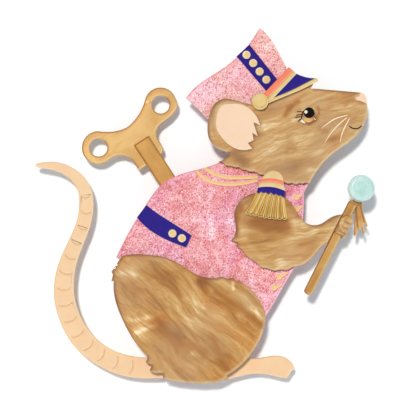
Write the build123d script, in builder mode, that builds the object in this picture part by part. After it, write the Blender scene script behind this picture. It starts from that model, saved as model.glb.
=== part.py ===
"""A layered resin brooch: a mouse in a pink dress uniform, with a wind-up key and a sceptre.

The brooch is built the way such brooches are made: flat pieces cut from coloured acrylic sheet
are polished, inlaid into each other or glued face to face, and pinned to the cloth by a metal
bar pin on the back.

Frame, in millimetres: the brooch stands as it is worn. +X runs to the mouse's nose, +Z is up, and the front
of the brooch faces -Y. The origin is on the pin stem's axis, at the middle of the bar pin.
A piece's depth is how far its back face lies in front of that axis, so a depth d is the plane y = -d.
"""

import os
from math import cos, hypot, radians, sin

from build123d import *

# ---------------------------------------------------------------- driving dimensions
MOTIF_HEIGHT = 71.2       # the mouse, from the tip of the cap to the underside of the haunch
DRAWN_HEIGHT = 71.2       # the same height on the drawing that the outlines below are taken from
PIN_ON_DRAWING = (3.2, -1.0)   # where the bar pin's middle lies on the drawing

REAR_SHEET = 1.8          # tail and foot
KEY_BOW_SHEET = 1.0       # butterfly handle of the key
JACKET_SHEET = 1.6
FUR_SHEET = 1.6           # head, arm and haunch
CAP_SHEET = 1.2           # crown, stripes and visor of the cap
EPAULETTE_SHEET = 1.1
FRINGE_SHEET = 0.9
FINGER_SHEET = 1.0
SCEPTRE_SHEET = 1.0
RIBBON_SHEET = 0.6
ORB_THICKNESS = 1.6

STUD_GAP = 0.04           # all round a stud in its seat
ENGRAVING_DEPTH = 0.2
ENGRAVING_WIDTH = 0.16

STRAP_INLAY = 0.8         # how deep each inlay is let into the piece that holds it
BRAID_INLAY = 0.4
BAND_INLAY = 0.6
INNER_EAR_INLAY = 0.6
EYE_INLAY = 0.4
MOUTH_INLAY = 0.3
NOSE_INLAY = 0.9
SCEPTRE_INLAY = 0.6
PROUD = 0.1               # how far an uncovered inlay stands out of its piece

BRAID_WIDTH = 0.6
WHISKER_WIDTH = 0.26
WHISKER_THICKNESS = 0.3
MOUTH_WIDTH = 0.22
LASH_WIDTH = 0.17
ENAMEL = 0.1              # one coat of the eye's enamel
IRIS_RADIUS = 1.4
PUPIL_RADIUS = 1.08
GLINT_RADIUS = 0.33

STUD_RADIUS = 0.8
STUD_LET_IN = 0.3
STUD_HEIGHT = 0.7
STUD_EDGE = 0.2
FROG_RADIUS = 0.55
CAP_BUTTON_RADIUS = 1.65
CAP_BUTTON_RIM = 0.4
CAP_BUTTON_PROUD = 0.3    # over the stripes beside it

KEY_EYE_RADIUS = 1.77
KEY_SHAFT_WIDTH = 3.6
KEY_SHAFT_LENGTH = 13.0
KEY_EDGE = 0.25
SCEPTRE_WIDTH = 1.85
ORB_RADIUS = 2.6
ORB_EDGE = 0.7
SETTING_LIP = 0.15        # how far the orb's setting shows round it

BAR_LENGTH = 23.0
BAR_WIDTH = 4.8
BAR_SHEET = 0.7
BAR_CLEARANCE = 0.2       # kept free all round the bar in the key's shaft, should the two meet
CLOTH_GAP = 2.5           # from the pin stem's axis to the bar
STEM_RADIUS = 0.4
STEM_POINT = 4.6          # length of the stem's point
STEM_TIP_RADIUS = 0.08
HINGE_SETBACK = 2.4       # hinge rivet's axis from the bar's end
CLEVIS_THICKNESS = 0.5
CLEVIS_RADIUS = 1.35
KNUCKLE_RADIUS = 1.0
KNUCKLE_WIDTH = 2.4
KNUCKLE_SIDE_GAP = 0.1
RIVET_RADIUS = 0.5
RIVET_RUN = 0.05          # radial running clearance of the knuckle on its rivet
RIVET_HEAD_RADIUS = 0.8
RIVET_HEAD = 0.35
CATCH_SETBACK = 0.7       # outer end of the catch from the bar's end
CATCH_LENGTH = 4.0
CATCH_RING = 1.2          # length of each of the catch's two fixed rings
CATCH_WALL = 0.45
CATCH_MOUTH = 1.4         # opening in the fixed rings that the stem goes in by
ROTOR_RADIUS = 1.0
ROTOR_RUN = 0.06          # radial running clearance of the catch's turning sleeve
ROTOR_END_GAP = 0.15
STEM_SLOT_GAP = 0.12      # each side of the stem in the sleeve's slot
LEVER_THICKNESS = 0.6
LEVER_REACH = 2.25
LEVER_ANGLE = -75         # from the sleeve's slot to its lever, turning about +X
GLUE_HOLE_RADIUS = 0.9
GLUE_HOLE_SPACING = 9.0

# ---------------------------------------------------------------- levels, worked out from the sheets
SCALE = MOTIF_HEIGHT / DRAWN_HEIGHT
JACKET_BACK = CLOTH_GAP + BAR_SHEET
REAR_BACK = JACKET_BACK - REAR_SHEET
KEY_SHAFT_BACK = REAR_BACK + KEY_BOW_SHEET
FUR_BACK = JACKET_BACK + JACKET_SHEET
FUR_FRONT = FUR_BACK + FUR_SHEET
CAP_FRONT = FUR_FRONT + CAP_SHEET
CROWN_BACK = FUR_BACK - CAP_SHEET
SCEPTRE_BACK = FUR_FRONT - SCEPTRE_INLAY
SCEPTRE_FRONT = SCEPTRE_BACK + SCEPTRE_SHEET


# ---------------------------------------------------------------- drawing helpers
def spot(x, z):
    """A point of the drawing, at the motif's size and measured from the pin."""
    return ((x - PIN_ON_DRAWING[0]) * SCALE, (z - PIN_ON_DRAWING[1]) * SCALE)


def curve(*points):
    """A smooth line through points of the drawing."""
    return Spline(*[spot(x, z) for x, z in points])


def straight(*points):
    """Straight lines through points of the drawing."""
    return Polyline(*[spot(x, z) for x, z in points])


def bow(start, middle, end):
    """An arc through three points of the drawing."""
    return ThreePointArc(spot(*start), spot(*middle), spot(*end))


def front_view(depth):
    """The plane at a depth, seen from the front: its X is +X, its Y is +Z, and it extrudes towards -Y."""
    return Plane.XZ.offset(depth)


os.makedirs("parts", exist_ok=True)


def save(piece, name):
    """Names a finished piece and writes it as its own node."""
    piece.part.label = name
    export_step(piece.part, f"parts/{name}.step")


# ================================================================ outlines of the pieces that meet others
with BuildSketch() as inner_ear_outline:
    with BuildLine():
        curve(
            (6.4, 14.1), (5.8, 15.6), (5, 16.7), (3, 18.1), (0, 18.35), (-1.3, 18), (-2.3, 16),
            (-2.3, 13.2), (-1, 11.2), (1, 9.6), (4.8, 9.4),
        )
        straight((4.8, 9.4), (3.9, 10.5), (5.1, 11.1), (4.8, 12.6), (5.9, 11.9), (5.0, 14.7), (6.4, 14.1))
    make_face()

with BuildSketch() as hat_band_outline:
    with BuildLine():
        straight((4.4, 30.5), (1.8, 28.1), (8.5, 20.3), (10.7, 22.6), (4.4, 30.5))
    make_face()

with BuildSketch() as coral_outline:
    with BuildLine():
        straight((12.1, 25.7), (7.0, 20.3), (7.9, 19.5), (13.0, 24.95), (12.1, 25.7))
    make_face()

with BuildSketch() as gold_outline:
    with BuildLine():
        straight((13.0, 24.95), (7.9, 19.5), (7.0, 18.6), (8.6, 19.0), (13.65, 24.35), (13.0, 24.95))
    make_face()

with BuildSketch() as visor_outline:
    with BuildLine():
        curve((13.65, 24.35), (14.8, 23.9), (16, 23.6), (17.4, 23.5))
        curve((17.4, 23.5), (14, 21.7), (11, 20.3), (9.2, 19.6))
        straight((9.2, 19.6), (13.65, 24.35))
    make_face()

CAP_BUTTON = (6.3, 18.75)
with BuildSketch() as cap_button_outline:
    with Locations(spot(*CAP_BUTTON)):
        Circle(CAP_BUTTON_RADIUS * SCALE)

with BuildSketch() as strap_outline:
    with BuildLine():
        straight((-16.3, -1.9), (-18.2, -4.4))
        curve((-18.2, -4.4), (-15.5, -7), (-11.5, -9.2), (-8.3, -10.4))
        straight((-8.3, -10.4), (-7.2, -8.0))
        curve((-7.2, -8.0), (-9, -6.8), (-13, -4.3), (-16.3, -1.9))
    make_face()

with BuildSketch() as nose_corner:
    with BuildLine():
        straight(
            (26.6, 21.5), (26.6, 20.8), (26.4, 20.1), (25.5, 19.7), (25.9, 19.2), (26.6, 19.1),
            (27.3, 18.8),
        )
        straight((27.3, 18.8), (28.0, 18.5), (29.0, 18.2), (29.0, 21.5), (26.6, 21.5))
    make_face()

with BuildSketch() as eye_white_outline:
    with BuildLine():
        curve((15.2, 16.1), (14.7, 15.6), (14.5, 15.0), (15.0, 14.6), (15.5, 14.55))
        straight((15.5, 14.55), (15.2, 16.1))
    make_face()

IRIS = (16.1, 16.0)
PUPIL = (16.25, 16.65)
GLINT = (15.6, 16.8)
with BuildSketch() as iris_outline:
    with Locations(spot(*IRIS)):
        Circle(IRIS_RADIUS * SCALE)
with BuildSketch() as eye_white_shape:
    add(eye_white_outline.sketch)
    add(iris_outline.sketch, mode=Mode.SUBTRACT)

with BuildSketch() as mouth_shape:
    with BuildLine():
        curve((24.4, 14.05), (25.0, 13.6), (25.7, 13.5), (26.3, 13.65), (26.85, 14.15))
    trace(line_width=MOUTH_WIDTH)

with BuildSketch() as upper_braid:
    with BuildLine():
        curve((-4.5, 5.5), (-2, 4.1), (1.5, 3.6), (6.0, 3.85))
    trace(line_width=BRAID_WIDTH)
with BuildSketch() as lower_braid:
    with BuildLine():
        curve((-6.2, 4.9), (-4.2, 3.2), (-0.5, 2.3), (3, 2.5), (6.0, 3.2))
    trace(line_width=BRAID_WIDTH)
    add(upper_braid.sketch, mode=Mode.SUBTRACT)
BRAIDS = {"shoulder_cord_upper": upper_braid, "shoulder_cord_lower": lower_braid}

# Each frog is a dot and the point that its cord runs to at the jacket's front edge.
FROGS = [
    ((13.75, -0.2), (15.1, 0.3)),
    ((13.9, -2.6), (15.0, -2.1)),
    ((10.3, -16.2), (12.1, -15.4)),
    ((9.3, -18.4), (10.9, -17.8)),
]


def frog_shape(dot, end):
    """A round button with a cord that tapers from it to the jacket's edge."""
    (x, z), (x_end, z_end) = dot, end
    run = hypot(x_end - x, z_end - z)
    across = (-(z_end - z) / run, (x_end - x) / run)
    with BuildSketch() as shape:
        with Locations(spot(x, z)):
            Circle(FROG_RADIUS * SCALE)
        with BuildLine():
            straight(
                (x + across[0] * 0.35, z + across[1] * 0.35),
                (x_end + across[0] * 0.12, z_end + across[1] * 0.12),
                (x_end - across[0] * 0.12, z_end - across[1] * 0.12),
                (x - across[0] * 0.35, z - across[1] * 0.35),
                (x + across[0] * 0.35, z + across[1] * 0.35),
            )
        make_face()
    return shape


frog_shapes = [frog_shape(dot, end) for dot, end in FROGS]

# ================================================================ tail and foot
# Each station is a point on the tail's centreline and the tail's width there, from the tip to the root.
TAIL = [
    ((-38.1, 6.1), 0.7),
    ((-36.2, 6.1), 1.4),
    ((-34.0, 5.8), 1.8),
    ((-31.8, 4.85), 2.1),
    ((-29.9, 3.3), 2.4),
    ((-28.65, 1.2), 2.65),
    ((-28.25, -1.4), 2.9),
    ((-28.6, -4.7), 2.9),
    ((-29.7, -8.0), 3.0),
    ((-31.4, -12.0), 3.3),
    ((-32.5, -16.0), 3.8),
    ((-32.65, -20.0), 4.1),
    ((-31.6, -24.2), 4.2),
    ((-29.3, -28.3), 4.3),
    ((-24.6, -32.3), 4.1),
    ((-20.0, -34.05), 4.2),
    ((-15.5, -34.5), 4.1),
    ((-10.5, -34.3), 3.8),
]
RING_COUNT = 14
FIRST_RING = 0.2          # share of the tail's length from its tip
LAST_RING = 0.86
RING_SHARE = 0.64         # of the tail's width there
RING_BOW = 0.45

with BuildLine() as tail_line:
    curve(*[point for point, _ in TAIL])
tail_edge = tail_line.edge()
tail_places = [tail_edge.param_at_point(Vector(*spot(*point))) for point, _ in TAIL]


def tail_side(place, width):
    """The point beside the tail's centreline at a place on it, half a width to its left."""
    point = tail_edge @ place
    way = tail_edge % place
    return (point.X - way.Y * width / 2, point.Y + way.X * width / 2)


def tail_width(place):
    """The tail's width at a place on its centreline, from the stations either side."""
    for i in range(1, len(TAIL)):
        if place <= tail_places[i]:
            share = (place - tail_places[i - 1]) / (tail_places[i] - tail_places[i - 1])
            return (TAIL[i - 1][1] * (1 - share) + TAIL[i][1] * share) * SCALE
    return TAIL[-1][1] * SCALE


one_side = [tail_side(place, width * SCALE) for place, (_, width) in zip(tail_places, TAIL)]
other_side = [tail_side(place, -width * SCALE) for place, (_, width) in zip(tail_places, TAIL)]
tail_tip = (tail_edge @ 0) - (tail_edge % 0) * (TAIL[0][1] * SCALE / 2)

with BuildPart() as tail:
    with BuildSketch(front_view(REAR_BACK)):
        with BuildLine():
            Spline(*one_side)
            Line(one_side[-1], other_side[-1])
            Spline(*reversed(other_side))
            ThreePointArc(other_side[0], (tail_tip.X, tail_tip.Y), one_side[0])
        make_face()
    extrude(amount=REAR_SHEET)
    with BuildSketch(front_view(JACKET_BACK)):
        for i in range(RING_COUNT):
            place = FIRST_RING + (LAST_RING - FIRST_RING) * i / (RING_COUNT - 1)
            half_ring = tail_width(place) * RING_SHARE
            middle = (tail_edge @ place) + (tail_edge % place) * RING_BOW
            with BuildLine():
                ThreePointArc(
                    tail_side(place, half_ring),
                    (middle.X, middle.Y),
                    tail_side(place, -half_ring),
                )
            trace(line_width=ENGRAVING_WIDTH)
    extrude(amount=-ENGRAVING_DEPTH, mode=Mode.SUBTRACT)
save(tail, "tail")

with BuildPart() as foot:
    with BuildSketch(front_view(REAR_BACK)):
        with BuildLine():
            curve((2.6, -31.8), (5, -32.55), (8, -32.25), (10.5, -32.05), (12.4, -32.8), (13.5, -34.4))
            straight(
                (13.5, -34.4), (13.35, -34.95), (12.95, -35.15), (12.75, -35.6), (12.35, -36.1),
                (12.1, -36.55),
            )
            curve((12.1, -36.55), (10.5, -36.35), (8, -35.75), (5, -35.65), (2, -36.3), (-0.6, -36.9))
            straight((-0.6, -36.9), (-4.5, -36.2), (-4.5, -32.5), (2.6, -31.8))
        make_face()
    extrude(amount=REAR_SHEET)
save(foot, "foot")

# ================================================================ wind-up key
KEY_LOBES = [(-25.85, 9.75), (-13.35, 18.5)]
KEY_TOP = (-17.3, 11.2)         # middle of the shaft's top end, on the bow
KEY_WAY = (0.546, -0.838)       # the way the shaft runs, down to the jacket

with BuildPart() as key_bow:
    with BuildSketch(front_view(REAR_BACK)):
        with BuildLine():
            curve((-26, 13.1), (-22.4, 13.1), (-20, 14.0), (-18.2, 15.9), (-17.0, 18.0), (-16.5, 19.5))
            bow((-16.5, 19.5), (-13.9, 21.95), (-10.3, 19.7))
            bow((-10.3, 19.7), (-10.0, 18.0), (-10.7, 16.8))
            curve((-10.7, 16.8), (-12.6, 15.1), (-14.1, 13.5), (-14.1, 12), (-13.1, 10.3), (-12.9, 9.0))
            straight((-12.9, 9.0), (-13.6, 7.9), (-17.6, 5.2), (-18.5, 6.5))
            curve((-18.5, 6.5), (-20.2, 8.0), (-22.4, 8.05), (-24.3, 6.9), (-26, 6.4))
            bow((-26, 6.4), (-29.2, 9.75), (-26, 13.1))
        make_face()
        with Locations([spot(*lobe) for lobe in KEY_LOBES]):
            Circle(KEY_EYE_RADIUS * SCALE, mode=Mode.SUBTRACT)
    extrude(amount=KEY_BOW_SHEET)
save(key_bow, "key_bow")

KEY_HALF = KEY_SHAFT_WIDTH * SCALE / 2
key_start = Vector(*spot(*KEY_TOP))
key_direction = Vector(*KEY_WAY).normalized()
key_plane = Plane(
    origin=(key_start.X, -KEY_SHAFT_BACK, key_start.Y),
    x_dir=(key_direction.X, 0, key_direction.Y),
    z_dir=(0, -1, 0),
)
with BuildPart() as key_shaft:
    with BuildSketch(key_plane):
        with Locations((KEY_SHAFT_LENGTH * SCALE / 2, 0)):
            Rectangle(KEY_SHAFT_LENGTH * SCALE, 2 * KEY_HALF)
    extrude(amount=JACKET_BACK - KEY_SHAFT_BACK)
    chamfer(key_shaft.edges().group_by(Axis.Y)[0], KEY_EDGE)
    with BuildSketch(front_view(KEY_SHAFT_BACK)):
        SlotOverall(BAR_LENGTH + 2 * BAR_CLEARANCE, BAR_WIDTH + 2 * BAR_CLEARANCE)
    extrude(amount=JACKET_BACK - KEY_SHAFT_BACK, mode=Mode.SUBTRACT)
save(key_shaft, "key_shaft")

# ================================================================ jacket and what is let into it
with BuildPart() as jacket:
    with BuildSketch(front_view(JACKET_BACK)):
        with BuildLine():
            curve(
                (-1.9, 6.6), (-6, 5.25), (-10, 4.1), (-13.6, 1.9), (-16.3, -1.7), (-19.3, -6.5),
                (-22.3, -12.4),
            )
            curve(
                (-22.3, -12.4), (-20.9, -13.6), (-21.3, -18), (-20.2, -23), (-17.4, -28.2),
                (-14.4, -32.2), (-12, -34.4),
            )
            curve((-12, -34.4), (-6, -35.9), (-2, -35.2), (2.5, -32.3), (5.2, -29.3), (7.6, -24.1))
            curve((7.6, -24.1), (9.5, -21), (11.8, -17), (13.4, -14.4))
            straight((13.4, -14.4), (14.6, -12.0), (15.0, -9.0), (15.1, -5.3), (15.4, 0))
            curve((15.4, 0), (15.45, 1.0), (15.9, 1.8), (16.25, 2.3))
            straight((16.25, 2.3), (15.4, 4.8), (8, 7.5), (1.5, 8.0), (-1.9, 6.6))
        make_face()
    extrude(amount=JACKET_SHEET)
    with BuildSketch(front_view(FUR_BACK)):
        add(strap_outline.sketch)
    extrude(amount=-STRAP_INLAY, mode=Mode.SUBTRACT)
    with BuildSketch(front_view(FUR_BACK)):
        add(upper_braid.sketch)
        add(lower_braid.sketch)
        for shape in frog_shapes:
            add(shape.sketch)
    extrude(amount=-BRAID_INLAY, mode=Mode.SUBTRACT)
save(jacket, "jacket")

STRAP_STUDS = [(-11.1, -7.6), (-9.2, -8.55)]
with BuildPart() as back_strap:
    with BuildSketch(front_view(FUR_BACK - STRAP_INLAY)):
        add(strap_outline.sketch)
    extrude(amount=STRAP_INLAY + PROUD)
    with BuildSketch(front_view(FUR_BACK + PROUD)):
        with Locations([spot(*stud) for stud in STRAP_STUDS]):
            Circle(STUD_RADIUS * SCALE + STUD_GAP)
    extrude(amount=-STUD_LET_IN, mode=Mode.SUBTRACT)
save(back_strap, "back_strap")


def save_stud(centre, host_front, name):
    """A round stud with a bevelled rim, let into the face of its band."""
    with BuildPart() as stud:
        with BuildSketch(front_view(host_front - STUD_LET_IN)):
            with Locations(spot(*centre)):
                Circle(STUD_RADIUS * SCALE)
        extrude(amount=STUD_HEIGHT)
        chamfer(stud.edges().group_by(Axis.Y)[0], STUD_EDGE)
    save(stud, name)


for i, centre in enumerate(STRAP_STUDS):
    save_stud(centre, FUR_BACK + PROUD, f"strap_stud_{i + 1}")

for name, shape in BRAIDS.items():
    with BuildPart() as braid:
        with BuildSketch(front_view(FUR_BACK - BRAID_INLAY)):
            add(shape.sketch)
        extrude(amount=BRAID_INLAY + PROUD)
    save(braid, name)

for i, shape in enumerate(frog_shapes):
    with BuildPart() as frog:
        with BuildSketch(front_view(FUR_BACK - BRAID_INLAY)):
            add(shape.sketch)
        extrude(amount=BRAID_INLAY)
    save(frog, f"frog_{i + 1}")

# ================================================================ haunch
with BuildPart() as haunch:
    with BuildSketch(front_view(FUR_BACK)):
        with BuildLine():
            straight(
                (-21.3, -12.2), (-22.5, -14.2), (-23.3, -15.3), (-22.95, -15.75), (-23.3, -17.25),
                (-22.8, -17.05),
            )
            curve((-22.8, -17.05), (-22.6, -20.5), (-21.2, -24.5), (-19.2, -28.3), (-16.0, -32.2))
            straight(
                (-16.0, -32.2), (-16.4, -33.35), (-15.1, -33.8), (-15.7, -34.95), (-14.6, -35.45),
                (-13.0, -35.35),
            )
            straight(
                (-13.0, -35.35), (-12.95, -36.6), (-11.5, -36.8), (-10.6, -37.15), (-9.2, -37.1),
                (-8.4, -37.4),
            )
            straight(
                (-8.4, -37.4), (-7.0, -37.3), (-5.6, -37.6), (-4.3, -37.35), (-2.6, -37.4),
                (0, -36.35), (-0.4, -35.9),
            )
            curve(
                (-0.4, -35.9), (1.5, -34.7), (4.2, -32.1), (6.3, -28.8), (7.4, -25), (6.9, -22.2),
                (4.9, -19.2), (2.6, -17.3),
            )
            straight(
                (2.6, -17.3), (1.5, -17.0), (0.9, -16.4), (-0.2, -16.7), (-1.3, -16.2),
                (-2.4, -16.6), (-4, -16.5),
            )
            curve(
                (-4, -16.5), (-6.2, -15.9), (-9.5, -13.9), (-12.5, -12.5), (-16, -11.9),
                (-18.8, -11.8), (-21.3, -12.2),
            )
        make_face()
    extrude(amount=FUR_SHEET)
save(haunch, "haunch")

# ================================================================ arm, sceptre and fingers
SCEPTRE_FOOT = (16.0, -19.4)
SCEPTRE_HEAD = (25.1, -1.4)
sceptre_low = Vector(*spot(*SCEPTRE_FOOT))
sceptre_high = Vector(*spot(*SCEPTRE_HEAD))
sceptre_way = (sceptre_high - sceptre_low).normalized()
SCEPTRE_HALF = SCEPTRE_WIDTH * SCALE / 2
sceptre_across = Vector(-sceptre_way.Y, sceptre_way.X) * SCEPTRE_HALF

with BuildSketch() as sceptre_outline:
    with BuildLine():
        foot_end = sceptre_low - sceptre_way * 0.45
        ThreePointArc(sceptre_low + sceptre_across, foot_end, sceptre_low - sceptre_across)
        Polyline(
            sceptre_low - sceptre_across,
            sceptre_high - sceptre_across,
            sceptre_high + sceptre_across,
            sceptre_low + sceptre_across,
        )
    make_face()

with BuildPart() as arm:
    with BuildSketch(front_view(FUR_BACK)):
        with BuildLine():
            curve((5.5, 0.5), (3.3, -0.35), (1.6, -2.3), (1.25, -3.8), (1.55, -6.2), (1.0, -8.5))
            straight(
                (1.0, -8.5), (0.55, -9.0), (1.8, -9.3), (1.7, -10.2), (2.7, -10.8), (3.4, -11.9),
                (4.8, -12.9),
            )
            straight(
                (4.8, -12.9), (5.6, -13.4), (6.6, -14.4), (8, -14.6), (9.2, -15.05), (10.6, -14.8),
                (11.8, -14.9),
            )
            straight((11.8, -14.9), (13.0, -14.2))
            curve((13.0, -14.2), (15.3, -13.6), (17.3, -11.9), (19.3, -9.75), (20.6, -9.2), (22.8, -8.6))
            curve((22.8, -8.6), (23.8, -7.7), (24.3, -6.3), (24.8, -5.2), (24.4, -4.1))
            curve(
                (24.4, -4.1), (22.2, -3.8), (20.3, -4.55), (18.7, -5.6), (17, -5.9), (15.4, -5.3),
                (13.9, -3.4), (12.6, -1.4),
            )
            curve((12.6, -1.4), (11.7, -0.6), (10.8, 0.2))
            straight((10.8, 0.2), (10.6, 1.5), (6.5, 1.8), (5.5, 0.5))
        make_face()
    extrude(amount=FUR_SHEET)
    with BuildSketch(front_view(FUR_FRONT)):
        add(sceptre_outline.sketch)
    extrude(amount=-SCEPTRE_INLAY, mode=Mode.SUBTRACT)
save(arm, "arm")

with BuildPart() as sceptre_shaft:
    with BuildSketch(front_view(SCEPTRE_BACK)):
        add(sceptre_outline.sketch)
    extrude(amount=SCEPTRE_SHEET)
    chamfer(sceptre_shaft.edges().group_by(Axis.Y)[0], 0.2)
save(sceptre_shaft, "sceptre_shaft")

with BuildPart() as fingers:
    with BuildSketch(front_view(FUR_FRONT)):
        with BuildLine():
            curve((21.0, -7.4), (21.8, -6.6), (22.1, -5.4), (22.9, -4.1), (23.9, -4.0), (24.7, -4.4))
            curve((24.7, -4.4), (24.95, -4.95), (24.45, -5.6))
            curve((24.45, -5.6), (24.5, -6.2), (24.0, -6.6))
            curve((24.0, -6.6), (24.05, -7.2), (23.5, -7.55))
            curve((23.5, -7.55), (23.45, -8.2), (22.8, -8.45))
            curve((22.8, -8.45), (22.2, -7.75), (21.0, -7.4))
        make_face()
    extrude(amount=FINGER_SHEET)
    with BuildSketch(front_view(FUR_FRONT)):
        add(sceptre_outline.sketch)
    extrude(amount=SCEPTRE_FRONT - FUR_FRONT, mode=Mode.SUBTRACT)
save(fingers, "fingers")

with BuildPart() as sceptre_ribbons:
    with BuildSketch(front_view(SCEPTRE_BACK - RIBBON_SHEET)):
        with BuildLine():
            straight(
                (24.6, -0.9), (24.6, -2.9), (25.5, -3.5), (25.3, -7.8), (25.65, -8.1),
                (25.95, -7.6), (26.0, -6.4),
            )
            straight(
                (26.0, -6.4), (26.5, -7.0), (26.8, -6.2), (27.2, -7.6), (27.55, -7.7),
                (27.6, -7.1), (27.1, -5.6),
            )
            straight(
                (27.1, -5.6), (27.5, -5.4), (27.9, -6.3), (28.15, -6.0), (27.1, -3.0),
                (26.9, -0.6), (24.6, -0.9),
            )
        make_face()
    extrude(amount=RIBBON_SHEET)
save(sceptre_ribbons, "sceptre_ribbons")

ORB = (26.62, 1.42)
with BuildPart() as orb_setting:
    with BuildSketch(front_view(SCEPTRE_FRONT)):
        with Locations(spot(*ORB)):
            Circle((ORB_RADIUS + SETTING_LIP) * SCALE)
    extrude(amount=RIBBON_SHEET)
save(orb_setting, "orb_setting")

with BuildPart() as sceptre_orb:
    with BuildSketch(front_view(SCEPTRE_FRONT + RIBBON_SHEET)):
        with Locations(spot(*ORB)):
            Circle(ORB_RADIUS * SCALE)
    extrude(amount=ORB_THICKNESS)
    fillet(sceptre_orb.edges().group_by(Axis.Y)[0], ORB_EDGE)
save(sceptre_orb, "sceptre_orb")

# ================================================================ head and face
with BuildSketch() as head_outline:
    with BuildLine():
        curve((16.6, 21.55), (20, 21.35), (23, 21.1), (26.6, 20.8))
        curve(
            (26.6, 20.8), (27.7, 20.1), (28.0, 18.5), (27.9, 15.8), (26.6, 13.1), (24.3, 10.8),
            (21.1, 8.5), (18.3, 5.6), (16.3, 2.4),
        )
        straight(
            (16.3, 2.4), (15.6, 2.7), (15, 2.4), (14.3, 2.55), (13.6, 2.25), (12.7, 2.6),
            (12, 2.4), (11, 2.8),
        )
        straight(
            (11, 2.8), (7.6, 3.9), (7.0, 4.2), (6.3, 4.2), (5.8, 4.6), (5.2, 4.85), (4.3, 4.8),
            (3.5, 5.15), (2.8, 5.2),
        )
        straight((2.8, 5.2), (2.2, 5.7), (1.4, 5.65), (0.4, 5.95), (-0.5, 6.0), (-1, 6.6), (-1.9, 6.8))
        curve((-1.9, 6.8), (-0.8, 7.3), (-0.1, 8.0), (0.4, 8.6))
        curve(
            (0.4, 8.6), (-2, 9.45), (-3.7, 11.2), (-4.1, 13), (-3.8, 16), (-3, 18), (-1.5, 19.2),
            (1, 19.2), (4.8, 18.2),
        )
        straight(
            (4.8, 18.2), (6.3, 19.2), (7.6, 20.4), (12.2, 25.2), (13.4, 24.0), (16.6, 23.0),
            (17.1, 22.3), (16.6, 21.55),
        )
    make_face()

with BuildPart() as head:
    with BuildSketch(front_view(FUR_BACK)):
        add(head_outline.sketch)
    extrude(amount=FUR_SHEET)
    with BuildSketch(front_view(FUR_FRONT)):
        add(nose_corner.sketch)
    extrude(amount=-NOSE_INLAY, mode=Mode.SUBTRACT)
    with BuildSketch(front_view(FUR_FRONT)):
        add(iris_outline.sketch)
        add(eye_white_outline.sketch)
    extrude(amount=-EYE_INLAY, mode=Mode.SUBTRACT)
    with BuildSketch(front_view(FUR_FRONT)):
        add(mouth_shape.sketch)
    extrude(amount=-MOUTH_INLAY, mode=Mode.SUBTRACT)
    with BuildSketch(front_view(FUR_FRONT)):
        add(inner_ear_outline.sketch)
    extrude(amount=-INNER_EAR_INLAY, mode=Mode.SUBTRACT)
save(head, "head")

with BuildPart() as nose:
    with BuildSketch(front_view(FUR_FRONT - NOSE_INLAY)):
        add(head_outline.sketch)
        add(nose_corner.sketch, mode=Mode.INTERSECT)
    extrude(amount=NOSE_INLAY + PROUD)
save(nose, "nose")

with BuildPart() as eye_white:
    with BuildSketch(front_view(FUR_FRONT - EYE_INLAY)):
        add(eye_white_shape.sketch)
    extrude(amount=EYE_INLAY)
save(eye_white, "eye_white")

with BuildPart() as eye_iris:
    with BuildSketch(front_view(FUR_FRONT - EYE_INLAY)):
        add(iris_outline.sketch)
    extrude(amount=EYE_INLAY)
save(eye_iris, "eye_iris")

with BuildPart() as eye_pupil:
    with BuildSketch(front_view(FUR_FRONT)):
        with Locations(spot(*PUPIL)):
            Circle(PUPIL_RADIUS * SCALE)
    extrude(amount=ENAMEL)
save(eye_pupil, "eye_pupil")

with BuildPart() as eye_glint:
    with BuildSketch(front_view(FUR_FRONT + ENAMEL)):
        with Locations(spot(*GLINT)):
            Circle(GLINT_RADIUS * SCALE)
    extrude(amount=ENAMEL)
save(eye_glint, "eye_glint")

LASHES = [
    ((15.0, 16.75), (14.4, 16.85), (13.8, 16.8)),
    ((14.95, 16.3), (14.3, 16.25), (13.65, 16.1)),
    ((14.9, 15.85), (14.2, 15.8), (13.4, 15.6)),
    ((14.7, 15.4), (14.35, 15.2), (14.0, 14.8)),
]
with BuildPart() as eyelashes:
    with BuildSketch(front_view(FUR_FRONT)):
        with BuildLine():
            curve((15.05, 17.0), (14.85, 16.2), (14.6, 15.1))
        trace(line_width=LASH_WIDTH)
        for lash in LASHES:
            with BuildLine():
                bow(*lash)
            trace(line_width=LASH_WIDTH)
    extrude(amount=ENAMEL)
save(eyelashes, "eyelashes")

with BuildPart() as mouth_line:
    with BuildSketch(front_view(FUR_FRONT - MOUTH_INLAY)):
        add(mouth_shape.sketch)
    extrude(amount=MOUTH_INLAY)
save(mouth_line, "mouth_line")

WHISKERS = [
    ((24.1, 16.25), (21.6, 15.5), (20.0, 14.5), (18.7, 13.5)),
    ((23.9, 15.75), (22.2, 14.3), (20.6, 12.5), (19.4, 10.6)),
    ((24.45, 15.6), (23.5, 13.9), (22.8, 12.2), (22.5, 10.6)),
]
for i, whisker_points in enumerate(WHISKERS):
    with BuildPart() as whisker:
        with BuildSketch(front_view(FUR_FRONT)):
            with BuildLine():
                curve(*whisker_points)
            trace(line_width=WHISKER_WIDTH)
        extrude(amount=WHISKER_THICKNESS)
    save(whisker, f"whisker_{i + 1}")

with BuildPart() as inner_ear:
    with BuildSketch(front_view(FUR_FRONT - INNER_EAR_INLAY)):
        add(inner_ear_outline.sketch)
    extrude(amount=INNER_EAR_INLAY + PROUD)
save(inner_ear, "inner_ear")

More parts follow.
